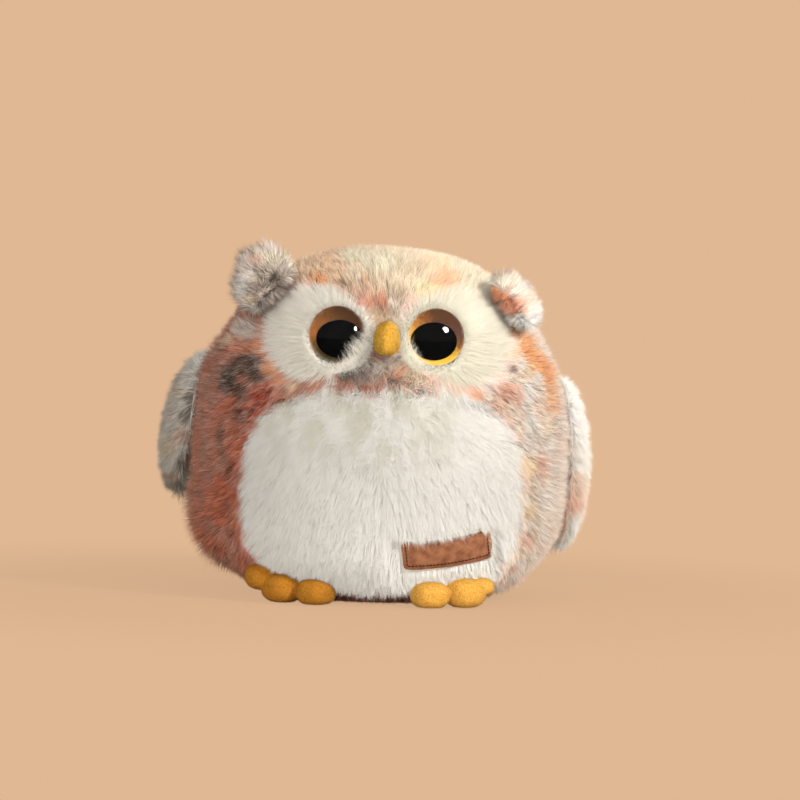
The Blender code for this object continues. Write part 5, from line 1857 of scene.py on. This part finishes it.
def makeStitches():
    # a short bowed thread for each stitch, in a row inside each edge
    t = stitches
    thread, _, _ = newMaterial("dark thread", t["dye"], 0.7, 0.3)
    wide, high = label["halfWidth"] - t["margin"], label["halfHeight"] - t["margin"]
    corners = np.array([(-wide, -high), (wide, -high), (wide, high), (-wide, high)])
    along = np.linspace(0, 1, len(t["widths"]))[:, None]
    lines = []
    for a, b in zip(corners, np.roll(corners, -1, axis=0)):
        count = round(np.linalg.norm(b - a) / t["pitch"])
        step = (b - a) / count
        first = a + step * np.arange(count)[:, None] + step * (1 - t["share"]) / 2
        lines.append(first[:, None] + step * t["share"] * along)
    across, up = np.moveaxis(np.concatenate(lines), -1, 0)
    lift = t["radius"] * t["bow"] * np.sin(np.pi * along[:, 0]) ** 0.5
    spine = labelPoint(across, up, label["depth"] + t["over"] - lift)
    forward = unit(np.gradient(spine, axis=1))
    side = unit(np.cross(forward, [0, 1.0, 0]))
    upward = np.cross(side, forward)
    turn = 2 * np.pi * np.arange(8)[:, None] / 8
    ring = side[:, :, None] * np.cos(turn) + upward[:, :, None] * np.sin(turn)
    tubes = spine[:, :, None] + ring * t["radius"] * t["widths"][:, None, None]
    mesh = joinedMesh("label_stitches", [closedMesh("stitch", tube) for tube in tubes])
    addPiece(mesh, thread, "body", "thread", "patch_stitching")


makeLabel()
makeStitches()
print(f"{strandTotal} strands in all")


# floor, lamps and camera

view = {
    "azimuth": math.radians(-1.5), "elevation": math.radians(3), "roll": math.radians(1.6), "distance": 2.4,
    "lens": 240, "sensor": 36, "perPixel": 0.45 * mm, "originRight": 24, "originDown": 196.2,
}
stage = {
    "sand": paint(224, 184, 148), "lit": paint(184, 150, 120), "bounce": paint(206, 196, 184),
    "shadowShare": 0.18, "mirrored": (0.03, 0.03, 0.03),
    "near": 0.14, "far": 0.34, "width": 6.0, "front": -3.0, "back": 2.2, "rise": 2.6, "bend": 0.9,
}
lamps = {
    "key": {
        "azimuth": 44, "elevation": 26, "distance": 1.3, "aim": 0.08, "size": 0.26, "watts": 14.5,
        "colour": (1.0, 0.96, 0.90),
    },
    "fill": {
        "azimuth": -15, "elevation": 8, "distance": 1.6, "aim": 0.08, "size": 1.4, "watts": 20,
        "colour": (1.0, 0.98, 0.95),
    },
    "top": {
        "azimuth": 20, "elevation": 80, "distance": 1.5, "aim": 0.08, "size": 1.0, "watts": 2.6,
        "colour": (1, 1, 1),
    },
}
room = {"colour": (1.0, 0.98, 0.95), "light": 0.46, "mirrored": 0.12}


def around(azimuth, elevation):
    # the way from the owl to a place at this azimuth, 0 in front and 90 at its picture's right
    a, e = math.radians(azimuth), math.radians(elevation)
    return np.array([math.sin(a) * math.cos(e), -math.cos(a) * math.cos(e), math.sin(e)])


def makeStage():
    # a floor that bends up into a backdrop, one sheet
    s = stage
    bend = np.linspace(0, np.pi / 2, 24)
    y = np.concatenate(([s["front"]], s["back"] - s["bend"] + s["bend"] * np.sin(bend), [s["back"]]))
    z = np.concatenate(([0], s["bend"] * (1 - np.cos(bend)), [s["rise"]]))
    points = xyz(np.array([-0.5, 0.5]) * s["width"], y[:, None], z[:, None])
    index = np.arange(len(y) * 2).reshape(-1, 2)
    faces = quadFaces(index[:-1, 0], index[:-1, 1], index[1:, 1], index[1:, 0])
    floor = bpy.data.objects.new("floor", meshFromTriangles("floor", points, faces))
    bpy.context.scene.collection.objects.link(floor)
    # paper that glows evenly for whatever looks at it, but for the soft shadow round the owl, and that
    # throws plain light back at the owl
    material, tree, inputs = newMaterial("sand paper", s["sand"], 0.95, 0.0)
    path = addNode(tree, "ShaderNodeLightPath")
    seen = calculate(tree, "MAXIMUM", path["Is Camera Ray"], path["Is Transmission Ray"])
    colour = mixColours(tree, seen, (*s["bounce"], 1), (*s["lit"], 1))
    feed(tree, inputs, {"Base Color": mixColours(tree, path["Is Glossy Ray"], colour, (*s["mirrored"], 1))})
    distance = addNode(tree, "ShaderNodeVectorMath", {"operation": "LENGTH"}, {0: coordinates(tree)})
    fade = addNode(
        tree, "ShaderNodeMapRange", {"interpolation_type": "SMOOTHSTEP"},
        {
            "Value": distance["Value"], "From Min": s["near"], "From Max": s["far"],
            "To Min": 1 - s["shadowShare"], "To Max": 1,
        },
    )
    shader = tree.nodes["Principled BSDF"].outputs[0]
    glow = addNode(tree, "ShaderNodeEmission", values={"Color": (*s["sand"], 1), "Strength": 1})
    share = calculate(tree, "MULTIPLY", fade[0], seen)
    mix = addNode(tree, "ShaderNodeMixShader", values={0: share, 1: shader, 2: glow[0]})
    feed(tree, tree.nodes["Material Output"].inputs, {"Surface": mix[0]})
    floor.data.materials.append(material)


def makeLamps():
    for name, l in lamps.items():
        light = bpy.data.lights.new(name, "AREA")
        light.shape = "DISK"
        light.size = l["size"]
        light.energy = l["watts"]
        light.color = l["colour"]
        lamp = bpy.data.objects.new(name, light)
        lamp.visible_glossy = name == "key"                                # one highlight in each eye
        out = around(l["azimuth"], l["elevation"])
        across = unit(np.cross([0, 0, 1.0], out))
        place = out * l["distance"] + [0, 0, l["aim"]]
        lamp.matrix_world = Matrix(frameFrom(across, np.cross(out, across), out, place))
        bpy.context.scene.collection.objects.link(lamp)
    world = bpy.data.worlds.new("room")
    world.use_nodes = True
    tree = world.node_tree
    # dimmer in reflections, so that the pupils stay black
    path = addNode(tree, "ShaderNodeLightPath")
    dim = addNode(
        tree, "ShaderNodeMapRange",
        values={"Value": path["Is Glossy Ray"], "To Min": room["light"], "To Max": room["mirrored"]},
    )
    feed(tree, tree.nodes["Background"].inputs, {"Color": (*room["colour"], 1), "Strength": dim[0]})
    bpy.context.scene.world = world


def makeCamera():
    v = view
    level = np.array([math.cos(v["azimuth"]), math.sin(v["azimuth"]), 0])
    ahead = np.array([
        -math.sin(v["azimuth"]) * math.cos(v["elevation"]),
        math.cos(v["azimuth"]) * math.cos(v["elevation"]),
        -math.sin(v["elevation"]),
    ])
    upright = np.cross(level, ahead)
    right = level * math.cos(v["roll"]) + upright * math.sin(v["roll"])
    up = upright * math.cos(v["roll"]) - level * math.sin(v["roll"])
    aim = (right * v["originRight"] + up * v["originDown"]) * v["perPixel"]
    data = bpy.data.cameras.new("camera")
    data.lens, data.sensor_width = v["lens"], v["sensor"]
    camera = bpy.data.objects.new("camera", data)
    camera.matrix_world = Matrix(frameFrom(right, up, -ahead, aim - ahead * v["distance"]))
    bpy.context.scene.collection.objects.link(camera)
    bpy.context.scene.camera = camera


makeStage()
makeLamps()
makeCamera()
bpy.context.scene.view_settings.view_transform = "Standard"
